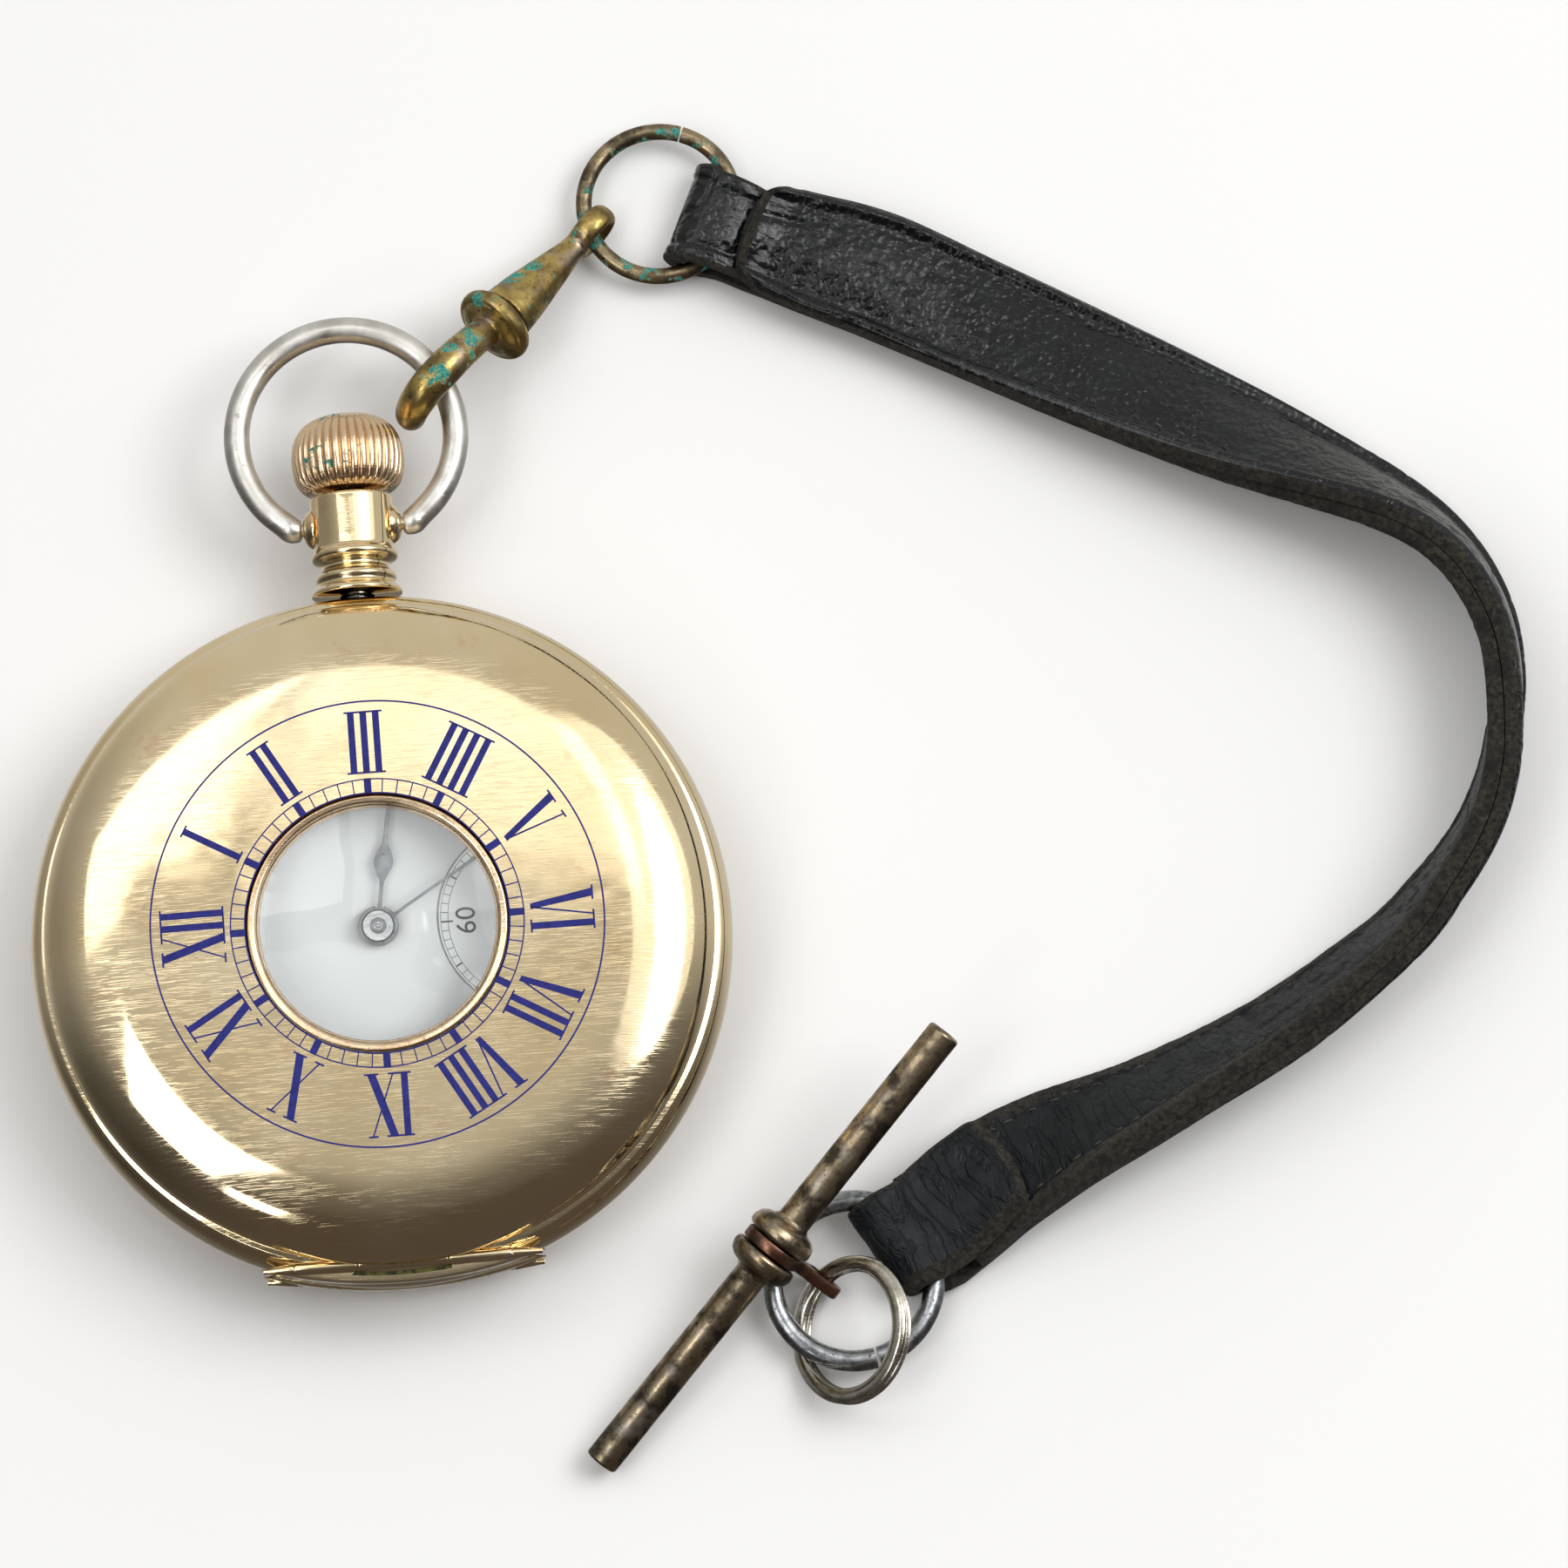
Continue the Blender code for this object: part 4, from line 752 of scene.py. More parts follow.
def make_covers():
    """Both covers. The back one is the same shell upside down, without the window, cut flat where it lies."""
    hole = high("window_bezel").x - RING_TRIM + 0.02
    outside, inside = cover_shell(hole)
    shell = revolve(outside + inside, 180, ring=True)
    piece("front_cover_shell", shell, GOLD, "front_cover", ["front_cover"])
    half = COVER_KNUCKLE_HALF
    piece("front_cover_knuckle", knuckle(-half, half, 1), GOLD, "front_cover")
    outside, inside = cover_shell(0.0)
    shell = revolve(outside[::-1] + inside[::-1], 180)
    flip = at(0, 0, 2 * MID_Z) @ Matrix.Scale(-1, 4, (0, 0, 1))
    bmesh.ops.transform(shell, matrix=flip, verts=shell.verts)
    back = piece("back_cover_shell", shell, GOLD, "back_cover", ["back_cover"])
    for vert in back.data.vertices:
        vert.co.z = max(vert.co.z, 0.0)
    piece("back_cover_knuckle", knuckle(-half, half, -1), GOLD, "back_cover")


def pane_outline(edge, peak, drops, thickness):
    """Profile of a domed glass, from how far it drops below its peak at shares of its radius."""
    outside = spline([(edge * share, peak - drop) for share, drop in drops], 6)
    return outside + [(radius, height - thickness) for radius, height in outside[::-1]]


def make_window():
    """The bevelled rose-gold ring in the lid and its small domed glass."""
    outer = high("window_bezel").x - RING_TRIM
    top = high("window_bezel").z
    inner = high("window_glass").x
    base = low("window_bezel").z
    profile = [(outer, base), (outer, top - 0.05), (outer - 0.10, top), (outer - 0.22, top - 0.02),
               (inner + 0.20, top - 0.05), (inner + 0.08, top - 0.22), (inner + 0.02, top - 0.52),
               (inner - 0.2, top - 0.6), (inner - 0.2, base)]
    ring = revolve(rounded(profile, 0.06, 3, closed=True), 144, ring=True)
    piece("window_ring", ring, ROSE, "front_cover", ["window_bezel"])
    peak = high("window_glass").z
    drops = ((1, 0.44), (0.8, 0.28), (0.5, 0.1), (0.25, 0.02), (0, 0))
    pane = revolve(pane_outline(inner, peak, drops, 0.2), 128)
    piece("window_pane", pane, GLASS, "front_cover", ["window_glass"], sharp=50)


def make_case_middle():
    """The band between the covers, its rims, and the curved leaves and knuckles of both hinges."""
    half = HINGE_LIFT - 0.25
    edge = CASE_RADIUS - 1.0
    belly = [(edge, -half), (edge + 0.45, -half + 0.35), (edge + 0.78, -half + 1.1), (edge + 1.0, 0),
             (edge + 0.78, half - 1.1), (edge + 0.45, half - 0.35), (edge, half)]
    inside = [(23.6, half), (23.5, half - 0.6), (22.0, half - 0.6), (22.0, -half + 0.6), (23.7, -half + 0.6),
              (23.8, -half)]
    profile = [(r, MID_Z + z) for r, z in spline(belly, 6) + inside]
    band = revolve(profile, 180, ring=True)
    leaf = arc(33.7, -108.0, -72.0, 48, (0, 7.8)) + arc(83.5, 83.0, 97.0, 24, (0, -107.1))[1:-1]
    for side in (-1, 1):
        heights = sorted((MID_Z + side * 1.0, MID_Z + side * (half - 0.1)))
        prism(leaf, *heights, bevel=0.14, bm=band)
        for end in (-1, 1):
            radii = (KNUCKLE_RADIUS, KNUCKLE_TIP_RADIUS)[::end]
            joined(band, knuckle(*sorted((end * CASE_KNUCKLE_FROM, end * TAPER_FROM)), side))
            joined(band, knuckle(*sorted((end * TAPER_FROM, end * HINGE_HALF)), side, radii))
    piece("case_band", band, GOLD, "case", ["case_centre"])
    tip = HINGE_HALF + 0.05
    pins = revolve(rounded([(0, -tip), (0.2, -tip), (0.2, tip), (0, tip)], 0.05, 2), 16)
    for side, name in ((1, "front"), (-1, "back")):
        copy = pins.copy()
        place = at(0, HINGE_Y, MID_Z + side * HINGE_LIFT) @ ALONG_X
        piece(f"pin_{name}", copy, GOLD, "case", [f"hinge_pin_{name}"], place)
    pins.free()
    crescent = arc(33.9, -96.5, -84.0, 20, (0, 8.5)) + arc(84.0, 87.6, 92.3, 10, (0, -108.6))
    soil = prism(crescent, MID_Z + half - 0.14, MID_Z + half - 0.08)
    piece("hinge_dirt", soil, DIRT, "case")


def make_crystal_parts():
    """The inner glass over the dial and the gold ring that holds it."""
    rim = high("crystal_bezel").x
    base = low("crystal_bezel").z
    top = high("crystal_bezel").z
    profile = [(rim, base), (rim, base + 0.75), (rim - 0.8, top - 0.45), (rim - 1.7, top), (rim - 2.3, top),
               (rim - 2.3, top - 0.75), (rim - 2.0, base)]
    ring = revolve(rounded(profile, 0.15, 3, closed=True), 144, ring=True)
    piece("crystal_ring", ring, GOLD, "case", ["crystal_bezel"])
    edge = high("crystal").x
    peak = high("crystal").z
    drops = ((1, 1.3), (0.85, 0.68), (0.6, 0.26), (0.3, 0.05), (0, 0))
    dome = revolve(pane_outline(edge, peak, drops, 0.42), 144)
    piece("crystal_dome", dome, GLASS, "case", ["crystal"], sharp=50)


# ---------------------------------------------------------------- numerals

def numeral_strokes(text):
    """Strokes and serifs of a Roman numeral whose feet are at 0 and tops at 1.

    A stroke is its two x at the feet and its two x at the tops. A serif is its two x and its end.
    """
    forms = {
        "I": (0.92, [(0.0, 0.5, 0.0, 0.5)], [(-0.24, 0.74, 1), (-0.24, 0.74, 0)]),
        "V": (2.30, [(0.86, 1.30, 0.0, 0.6), (1.06, 1.20, 1.86, 1.98)], [(-0.24, 0.86, 1), (1.6, 2.22, 1)]),
        "X": (2.34, [(1.42, 2.04, 0.0, 0.6), (0.10, 0.22, 1.82, 1.94)],
              [(-0.24, 0.86, 1), (1.5, 2.2, 1), (-0.2, 0.52, 0), (1.2, 2.28, 0)]),
    }
    strokes = []
    serifs = []
    cursor = 0.0
    for letter in text:
        advance, bars, feet = forms[letter]
        strokes += [tuple(x + cursor for x in bar) for bar in bars]
        serifs += [(a + cursor, b + cursor, end) for a, b, end in feet]
        cursor += advance
    width = cursor - 0.42
    strokes = [tuple(x - width / 2 for x in bar) for bar in strokes]
    return strokes, [(a - width / 2, b - width / 2, end) for a, b, end in serifs]


def spoke(angle):
    """The directions outward and across, clockwise, at this angle round a dial."""
    outward = Vector((math.cos(angle), math.sin(angle), 0))
    return outward, Vector((outward.y, -outward.x, 0))


def oblong(left, right, inner, outer):
    """Corners for laid_quad, from its x and radius limits."""
    return ((left, inner), (right, inner), (right, outer), (left, outer))


def laid_quad(bm, corners, outward, across, height_at, lift, steps=6):
    """A thin slab with corners (x, radius) in a frame of outward and across, lying on a curved surface."""
    (xa, ra), (xb, rb), (xc, rc), (xd, rd) = corners
    rows = []
    for i in range(steps + 1):
        t = i / steps
        row = []
        for x, r in ((xa + (xd - xa) * t, ra + (rd - ra) * t), (xb + (xc - xb) * t, rb + (rc - rb) * t)):
            flat = outward * r + across * x
            z = height_at(flat.length)
            row.append((Vector((flat.x, flat.y, z - 0.02)), Vector((flat.x, flat.y, z + lift))))
        rows.append([row[0][0], row[1][0], row[1][1], row[0][1]])
    loft(rows, bm=bm)


def lay_numeral(bm, text, angle, inner, outer, size, height_at, lift=INLAY_LIFT):
    """One numeral on a dial, tops outward, standing between two radii."""
    outward, across = spoke(angle)
    strokes, serifs = numeral_strokes(text)
    hair = 0.05 * size + 0.02
    for a, b, c, d in strokes:
        corners = ((a * size, inner), (b * size, inner), (d * size, outer), (c * size, outer))
        laid_quad(bm, corners, outward, across, height_at, lift)
    for a, b, end in serifs:
        r = outer if end else inner
        corners = oblong(a * size, b * size, r - hair, r + hair)
        laid_quad(bm, corners, outward, across, height_at, lift, 1)


def lay_ring(bm, inner, outer, height_at, lift=INLAY_LIFT, steps=180, centre=Vector((0, 0, 0))):
    """A thin ring lying on a surface."""
    sections = []
    for i in range(steps):
        angle = math.tau * i / steps
        out = Vector((math.cos(angle), math.sin(angle), 0))
        section = []
        for r, up in ((inner, -0.02), (outer, -0.02), (outer, lift), (inner, lift)):
            section.append(centre + out * r + Vector((0, 0, height_at(r) + up)))
        sections.append(section)
    loft(sections, closed=True, bm=bm)


def clock_angle(hours):
    """Angle of an hour mark: III towards the pendant, clockwise seen from the front."""
    return math.radians(90 - (hours - 3) * 30)


HOURS = ("I", "II", "III", "IIII", "V", "VI", "VII", "VIII", "IX", "X", "XI", "XII")


def lay_minutes(bm, inner, outer, block, height_at, hair, lift=INLAY_LIFT):
    """A minute track: two fine circles, a line for each minute and a block for each fifth."""
    for r in (inner, outer):
        lay_ring(bm, r - hair, r + hair, height_at, lift)
    for minute in range(60):
        fifth = minute % 5 == 0
        wide = block if fifth else hair * 0.9
        past = 0.06 if fifth else 0
        corners = oblong(-wide, wide, inner - past, outer + past)
        laid_quad(bm, corners, *spoke(math.tau * minute / 60), height_at, lift, 1)


def make_lid_numerals():
    """The blue enamel let into the lid round its window."""
    track = bmesh.new()
    lay_minutes(track, *LID_TRACK, 0.27, lid_height, 0.05)
    lay_ring(track, *LID_OUTER_LINE, lid_height, steps=240)
    piece("lid_minute_track", track, BLUE, "front_cover", sharp=60)
    numerals = bmesh.new()
    for hour, text in enumerate(HOURS, 1):
        lay_numeral(numerals, text, clock_angle(hour), *LID_NUMERALS, 1.0, lid_height)
    piece("lid_hour_numerals", numerals, BLUE, "front_cover", sharp=60)


def flat_text(bm, text, size, place):
    """Plain figures as thin slabs, centred on place."""
    curve = bpy.data.curves.new("figures", "FONT")
    curve.body = text
    curve.size = size
    curve.align_x = "CENTER"
    curve.align_y = "CENTER"
    curve.extrude = INLAY_LIFT
    curve.resolution_u = 4
    joined(bm, added(as_evaluated(placed("figures", curve)), bmesh.new()), place)


def make_dial_parts():
    """The enamel dial with its sunk seconds dial, all that is printed on both, and the painted shade of the
    sunk dial's step.
    """
    radius = high("dial").x
    bottom = low("dial").z
    sink = DIAL_TOP - SECONDS_SINK
    wide = SECONDS_RADIUS
    hole = circle(wide, 96, (SECONDS_X, 0))
    upper = prism(circle(radius, 160), bottom + 0.02, DIAL_TOP, [circle(1.35, 40), hole], bevel=0.03)
    piece("dial_enamel", upper, ENAMEL, "case", ["dial"])
    lower = prism(circle(wide + 0.05, 96), sink - 0.2, sink, [circle(0.42, 24)])
    piece("seconds_dial_enamel", lower, ENAMEL, "case", place=at(SECONDS_X, 0))
    ink = bmesh.new()
    lay_minutes(ink, *DIAL_TRACK, 0.16, lambda r: DIAL_TOP, 0.03, PRINT_LIFT)
    for hour, text in enumerate(HOURS, 1):
        if text != "VI":
            angle = clock_angle(hour)
            lay_numeral(ink, text, angle, *DIAL_NUMERALS, 0.9, lambda r: DIAL_TOP, PRINT_LIFT)
    centre = Vector((SECONDS_X, 0, 0))
    for r in SECONDS_TRACK:
        lay_ring(ink, r - 0.02, r + 0.02, lambda q: sink, PRINT_LIFT, 120, centre)
    for second in range(60):
        angle = math.pi - math.tau * second / 60
        inner = 5.75 if second % 10 == 0 else SECONDS_TRACK[0]
        wide_mark = 0.06 if second % 5 == 0 else 0.025
        outward, across = spoke(angle)
        tick = bmesh.new()
        corners = oblong(-wide_mark, wide_mark, inner, SECONDS_TRACK[1])
        laid_quad(tick, corners, outward, across, lambda q: sink, PRINT_LIFT, 1)
        joined(ink, tick, at(*centre))
        if second % 10 == 0:
            turn = Matrix.Rotation(angle - math.pi / 2, 4, "Z")
            place = at(*(centre + outward * SECONDS_FIGURES_AT)) @ turn @ at(0, 0, sink + 0.004)
            flat_text(ink, str(second or 60), SECONDS_FIGURE_SIZE, place)
    piece("dial_print", ink, INK, "case", sharp=60)
    # A grey ring on the wall and foot of the seconds dial's step: painted shade of the step.
    profile = [(wide - 0.13, sink), (wide - 0.02, sink), (wide - 0.02, DIAL_TOP - 0.01),
               (wide - 0.05, DIAL_TOP - 0.03)]
    rim = revolve(profile, 120, ring=True)
    piece("seconds_dial_rim", rim, STEP_SHADE, "case", place=at(SECONDS_X, 0))


def make_hand_pieces():
    """Slim steel hands with their hubs, each turned from the CAD hand's own direction."""
    turns = {}
    for name, centre_x in (("hour_hand", 0.0), ("minute_hand", 0.0), ("seconds_hand", SECONDS_X)):
        points = [v.co / MM for v in frame["nodes"][name].data.vertices]
        tip = max(points, key=lambda p: math.hypot(p.x - centre_x, p.y))
        turns[name] = Matrix.Rotation(math.atan2(tip.y, tip.x - centre_x) - math.pi / 2, 4, "Z")
    hour = spline([(-0.17, 1.2), (-0.16, 2.2), (-0.17, 3.2), (-0.34, 3.7), (-0.66, 4.4), (-0.68, 4.95),
                   (-0.46, 5.6), (-0.22, 6.2), (-0.17, 7.4), (-0.12, 9.5), (-0.09, 12.4)], 5) + [(0, 13.0)]
    outline = hour + [(-x, y) for x, y in hour[-2::-1]] + arc(1.5, 76, -256, 40)
    floor = low("hour_hand").z
    body = prism(outline, floor, floor + 0.15, [circle(1.02, 32)], bevel=0.045)
    piece("hour_hand_steel", body, HAND_STEEL, "hour_hand", ["hour_hand"], turns["hour_hand"])
    minute = [(-0.14, 1.1), (-0.12, 2.2), (-0.11, 5.0), (-0.10, 17.5)]
    outline = minute + [(0, 18.4)] + [(-x, y) for x, y in minute[::-1]] + arc(1.2, 82, -262, 40)
    floor = low("minute_hand").z
    body = prism(outline, floor, floor + 0.15, [circle(0.55, 24)], bevel=0.045)
    steps = [(0, 0.24), (0.14, 0.22), (0.20, 0.10), (0.30, 0.10), (0.36, 0.27), (0.50, 0.30), (0.54, 0.24),
             (0.60, 0.30), (1.10, 0.30), (1.20, 0.22), (1.20, -0.18), (0.6, -0.18), (0.6, 0.0), (0, 0.0)]
    hub = revolve([(r, floor + z) for r, z in steps[::-1]], 48)
    piece("minute_hand_hub", hub, STEEL, "minute_hand")
    piece("minute_hand_steel", body, HAND_STEEL, "minute_hand", ["minute_hand"],
          turns["minute_hand"])
    blade = [(-0.12, 0.5), (-0.05, 5.6), (0, 5.85), (0.05, 5.6), (0.12, 0.5)]
    tail = [(0.1, -2.2), (-0.1, -2.2)]
    outline = blade + arc(0.55, 60, -60, 12) + tail + arc(0.55, 240, 120, 12)
    floor = low("seconds_hand").z
    body = prism(outline, floor, floor + 0.1, bevel=0.02)
    piece("seconds_hand_steel", body, HAND_STEEL, "fourth_wheel", ["seconds_hand"],
          at(SECONDS_X, 0) @ turns["seconds_hand"])


# ---------------------------------------------------------------- pendant, crown and bow

def make_pendant_parts():
    """The pendant's turned tube and the domed bosses that the bow's ends go into."""
    start = low("pendant").y
    end = high("pendant").y
    outer = high("pendant").x
    base = [(1.3, 0), (outer, 0), (outer, 0.3), (outer - 0.25, 0.58)]
    rings = [(2.85, 0.85), (3.1, 1.25), (2.95, 1.6), (2.5, 1.95), (2.42, 2.3), (2.6, 2.5),
             (3.15, 2.68), (3.28, 2.95), (3.2, 3.25), (2.98, 3.5), (3.02, 4.6)]
    profile = [(radius, start + along) for radius, along in base + rings]
    profile += [(3.1, end - 0.5), (3.12, end - 0.15), (3.0, end), (1.3, end)]
    tube = revolve(rounded(profile, 0.22, 3), 96, ring=True)
    piece("pendant_tube", tube, GOLD, "case", ["pendant"], at(0, 0, MID_Z) @ ALONG_Y)
    pivot = joint_at("bow_swing").y
    dome = [(0.0, 3.72), (0.5, 3.7), (0.95, 3.6), (1.3, 3.35), (1.5, 3.0), (1.52, 2.8), (0.0, 2.8)]
    for side, name in ((-1, "left"), (1, "right")):
        boss = revolve(rounded(dome, 0.15, 3), 48)
        place = at(0, pivot, MID_Z) @ Matrix.Rotation(math.radians(90 * side), 4, "Y")
        piece(f"bow_boss_{name}", boss, GOLD, "case", [f"bow_bush_{name}"], place)


def make_crown_piece():
    """The onion crown: full rounded ribs with sharp valleys, drawn in towards the top."""
    start = low("crown").y
    end = high("crown").y
    widest = high("crown").x
    length = end - start
    profile = [(0.74, 0.0), (0.86, 0.06), (0.955, 0.17), (0.995, 0.33), (1.0, 0.46), (0.975, 0.60),
               (0.90, 0.74), (0.76, 0.86), (0.55, 0.94), (0.30, 0.985), (0.12, 1.0)]
    rings = spline(profile, 4)
    steps = CROWN_RIBS * CROWN_RIB_POINTS
    bm = bmesh.new()
    rows = []
    for share, along in rings:
        radius = widest * share
        shallower = min(1.0, radius / widest * 1.15) * (0.35 + 0.65 * min(1, along / 0.12 + 0.1))
        depth = CROWN_RIB_DEPTH * shallower
        row = []
        for i in range(steps):
            across = (i % CROWN_RIB_POINTS) / CROWN_RIB_POINTS * 2 - 1
            reach = radius - depth * (1 - math.sqrt(max(0.0, 1 - across * across)))
            angle = math.tau * i / steps
            place = (reach * math.cos(angle), reach * math.sin(angle), start + along * length)
            row.append(bm.verts.new(place))
        rows.append(row)
    for first, second in zip(rows, rows[1:]):
        for i in range(steps):
            j = (i + 1) % steps
            bm.faces.new((first[i], first[j], second[j], second[i]))
    bm.faces.new(rows[0])
    bm.faces.new(rows[-1])
    place = at(0, 0, MID_Z) @ ALONG_Y @ Matrix.Rotation(math.radians(4), 4, "Z")
    piece("crown_ribbed", bm, CROWN_GOLD, "crown", ["crown"], place, sharp=60)


def make_bow_piece():
    """The bow: one round wire ring whose narrowed ends go into the bosses."""
    wire = high("bow").z - MID_Z
    outer = high("bow").y
    pivot = joint_at("bow_swing").y
    radius = high("bow").x - wire
    centre = outer - wire - radius
    ends = [(Vector((x, pivot + max(x - 4.1, 0) * 0.3, MID_Z)), r) for x, r in
            ((3.2, 0.5), (3.8, 0.5), (3.9, 0.8), (4.2, 0.93), (4.6, 1.0))]
    points = [(*p, r) for p, r in ends]
    for i in range(25):
        angle = math.radians(-52 + 284 * i / 24)
        points.append((radius * math.cos(angle), centre + radius * math.sin(angle), MID_Z, wire))
    points += [(-p.x, p.y, p.z, r) for p, r in ends[::-1]]
    samples = spline(points, 5)
    piece("bow_ring", wire_along(samples, 32), SILVER, "bow", ["bow"])


# ---------------------------------------------------------------- clip, rings and bar

def make_clip_pieces():
    """The hook with its collar, the cone that turns on it with its eye, and the gate across the hook."""
    aside = Vector((0, 1, 0))
    spine = [(-0.7, 0, 0.25, 1.2), (-2.2, 0, 0.9, 1.22), (-4.2, 0, 1.42, 1.3), (-6.3, 0, 1.5, 1.36),
             (-8.3, 0, 0.9, 1.36), (-9.3, 0, -0.5, 1.30), (-9.4, 0, -2.1, 1.16), (-8.75, 0, -3.2, 0.98),
             (-7.9, 0, -3.72, 0.7)]
    samples = spline(spine, 8)
    hook = wire_along(samples, 28, aside)
    tip = samples[-1]
    bmesh.ops.create_uvsphere(hook, u_segments=20, v_segments=12, radius=tip[3] * 0.99, matrix=at(*tip[:3]))
    collar = [(0, -1.1), (1.45, -1.1), (2.0, -0.98), (2.35, -0.8), (2.55, -0.62), (2.75, -0.66),
              (3.0, -0.45), (3.1, 0.0), (3.0, 0.42), (2.75, 0.66), (2.55, 0.66), (2.4, 0.86), (2.2, 0.95),
              (0, 0.95)]
    joined(hook, revolve(rounded(collar, 0.15, 3), 64), ALONG_X)
    piece("clip_hook_brass", fused(hook), OLD_BRASS, "clip", ["clip_hook"], CLIP, sharp=80)
    cone = [(2.15, 1.06), (2.22, 1.2), (2.16, 1.5), (1.98, 3.2), (1.66, 5.2), (1.26, 7.6), (1.02, 9.0),
            (0.98, 9.9)]
    swivel = revolve(spline(cone, 4) + [(0, 10.1)], 56)
    cap = revolve([(0, 1.06), (2.15, 1.06)], 56)
    joined(swivel, cap)
    bmesh.ops.remove_doubles(swivel, verts=swivel.verts, dist=1e-4)
    bmesh.ops.transform(swivel, matrix=ALONG_X, verts=swivel.verts)
    eye = [(1.18, 0.0), (1.22, 0.42), (1.42, 0.78), (1.7, 0.95), (1.98, 0.78), (2.17, 0.42), (2.2, 0.0),
           (2.17, -0.42), (1.98, -0.78), (1.7, -0.95), (1.42, -0.78), (1.22, -0.42)]
    place = at(EYE_REACH, 0, 0) @ Matrix.Rotation(math.radians(90), 4, "X")
    joined(swivel, revolve(eye, 64, ring=True), place)
    piece("clip_swivel_brass", fused(swivel), OLD_BRASS, "clip_swivel", ["clip_swivel"], CLIP,
          sharp=80)
    gate = [(-0.85, 0, -2.15, 0.34), (-2.0, 0, -2.45, 0.4), (-3.6, 0, -2.95, 0.42), (-5.2, 0, -3.38, 0.42),
            (-6.65, 0, -3.78, 0.36)]
    bar = wire_along(spline(gate, 6), 16, aside)
    piece("clip_gate_bar", bar, OLD_BRASS, "clip_gate", ["clip_gate"], CLIP)


def node_centre(node):
    return (low(node) + high(node)) / 2


def make_hoop(node, thicker, gap_at, gap, wobble, finish):
    """A bent wire ring in place of a CAD ring: a little out of true, with its ends a hair apart."""
    centre = node_centre(node)
    wire = (high(node).z - low(node).z) / 2 * thicker
    radius = high(node).x - centre.x - wire
    samples = []
    for i in range(161):
        angle = math.radians(gap_at + gap / 2 + (360 - gap) * (i / 160))
        reach = radius + wobble * math.sin(2 * angle + 0.6) * 0.6 + wobble * 0.4 * math.sin(3 * angle)
        samples.append((reach * math.cos(angle), reach * math.sin(angle), 0.0, wire))
    piece(f"{node}_wire", wire_along(samples, 24), finish, node, [node], at(*centre))


def make_rings():
    """The bronze and steel wire rings, and the split ring's flat double coil."""
    make_hoop("fob_ring", 1.05, 69, 1.6, 0.05, OLD_BRONZE)
    make_hoop("strap_ring", 1.16, -77.5, 2.2, 0.03, DARK_STEEL)
    coil = []
    per_turn = 90
    half_width, half_height = COIL_WIRE
    for i in range(2 * per_turn + 1):
        angle = math.tau * i / per_turn
        rise = max(min((i - per_turn) / 14, 1), -1) * COIL_RISE
        out = Vector((math.cos(angle), math.sin(angle), 0))
        middle = out * COIL_RADIUS + Vector((0, 0, rise))
        section = []
        for k in range(12):
            turn = math.tau * k / 12
            up = Vector((0, 0, half_height * math.sin(turn)))
            section.append(middle + out * half_width * math.cos(turn) + up)
        coil.append(section)
    centre = joint_at("split_ring_turn")
    place = facing(centre, joint_axis("split_ring_turn"), Vector((1, -0.08, 0)))
    piece("split_ring_coil", loft(coil), COIL_SILVER, "split_ring", ["split_ring"],
          place @ Matrix.Rotation(math.radians(60), 4, "Z"))


def make_bar_pieces():
    """The T-bar with its two beads, lightly dented all over."""
    half = BAR_HALF_LENGTH
    stations = [(0, half - 0.35), (0.62, half - 0.3), (0.7, half - 0.05), (1.1, half),
                (BAR_RADIUS, half - 0.16), (BAR_RADIUS, 2.5), (1.5, 2.22), (2.0, 2.08), (2.42, 1.75),
                (2.62, 1.25), (2.62, 0.85), (2.45, 0.62), (1.6, 0.58)]
    profile = rounded(stations + [(r, -z) for r, z in stations[::-1]], 0.12, 3)
    bar = revolve(profile, 56)
    for vert in bar.verts:
        dent = noise.noise(vert.co * 0.55) * 0.03
        away = Vector((vert.co.x, vert.co.y, 0))
        if away.length > 0.5:
            vert.co -= away.normalized() * max(dent, 0)
    piece("bar_turned", bar, BAR_BRONZE, "t_bar", ["t_bar"], BAR)


def make_band_piece():
    """The copper band that clips round the bar's waist, with the tab that holds the split ring."""
    axis = joint_axis("t_bar_turn")
    tab = node_centre("t_bar_band") - BAR_AT
    tab = (tab - axis * tab.dot(axis)).normalized()
    place = facing(BAR_AT, axis, tab)
    eye = (TAB_REACH, 0)
    outline = arc(2.35, 18, 342, 44) + [(3.4, -0.8)] + arc(1.75, -70, 70, 20, eye) + [(3.4, 0.8)]
    band = prism(outline, -0.48, 0.48, [circle(1.74, 48), circle(1.16, 36, eye)], bevel=0.16)
    piece("bar_band", band, COPPER, "t_bar_band", ["t_bar_band"], place)


# ---------------------------------------------------------------- strap

def blend(value, start, end):
    """Goes from 0 to 1 as the value goes from start to end."""
    t = min(max((value - start) / (end - start), 0), 1)
    return t * t * (3 - 2 * t)


def strap_axis():
    """The CAD strap's stations: place, direction across it and direction of its face."""
    samples = spline(STRAP_ROUTE, 2)
    flats = [Vector((x, y, 0)) for x, y, roll in samples]
    stations = []
    for i, (x, y, roll) in enumerate(samples):
        along = (flats[min(i + 1, len(flats) - 1)] - flats[max(i - 1, 0)]).normalized()
        outward = Vector((-along.y, along.x, 0))
        turn = math.radians(roll)
        height = (STRAP_WIDTH / 2 + 0.3) * abs(math.sin(turn)) + 1.3 * abs(math.cos(turn)) + 0.05
        across = outward * math.cos(turn) - Vector((0, 0, math.sin(turn)))
        face = outward * math.sin(turn) + Vector((0, 0, math.cos(turn)))
        stations.append((Vector((x, y, height)), across, face))
    return stations


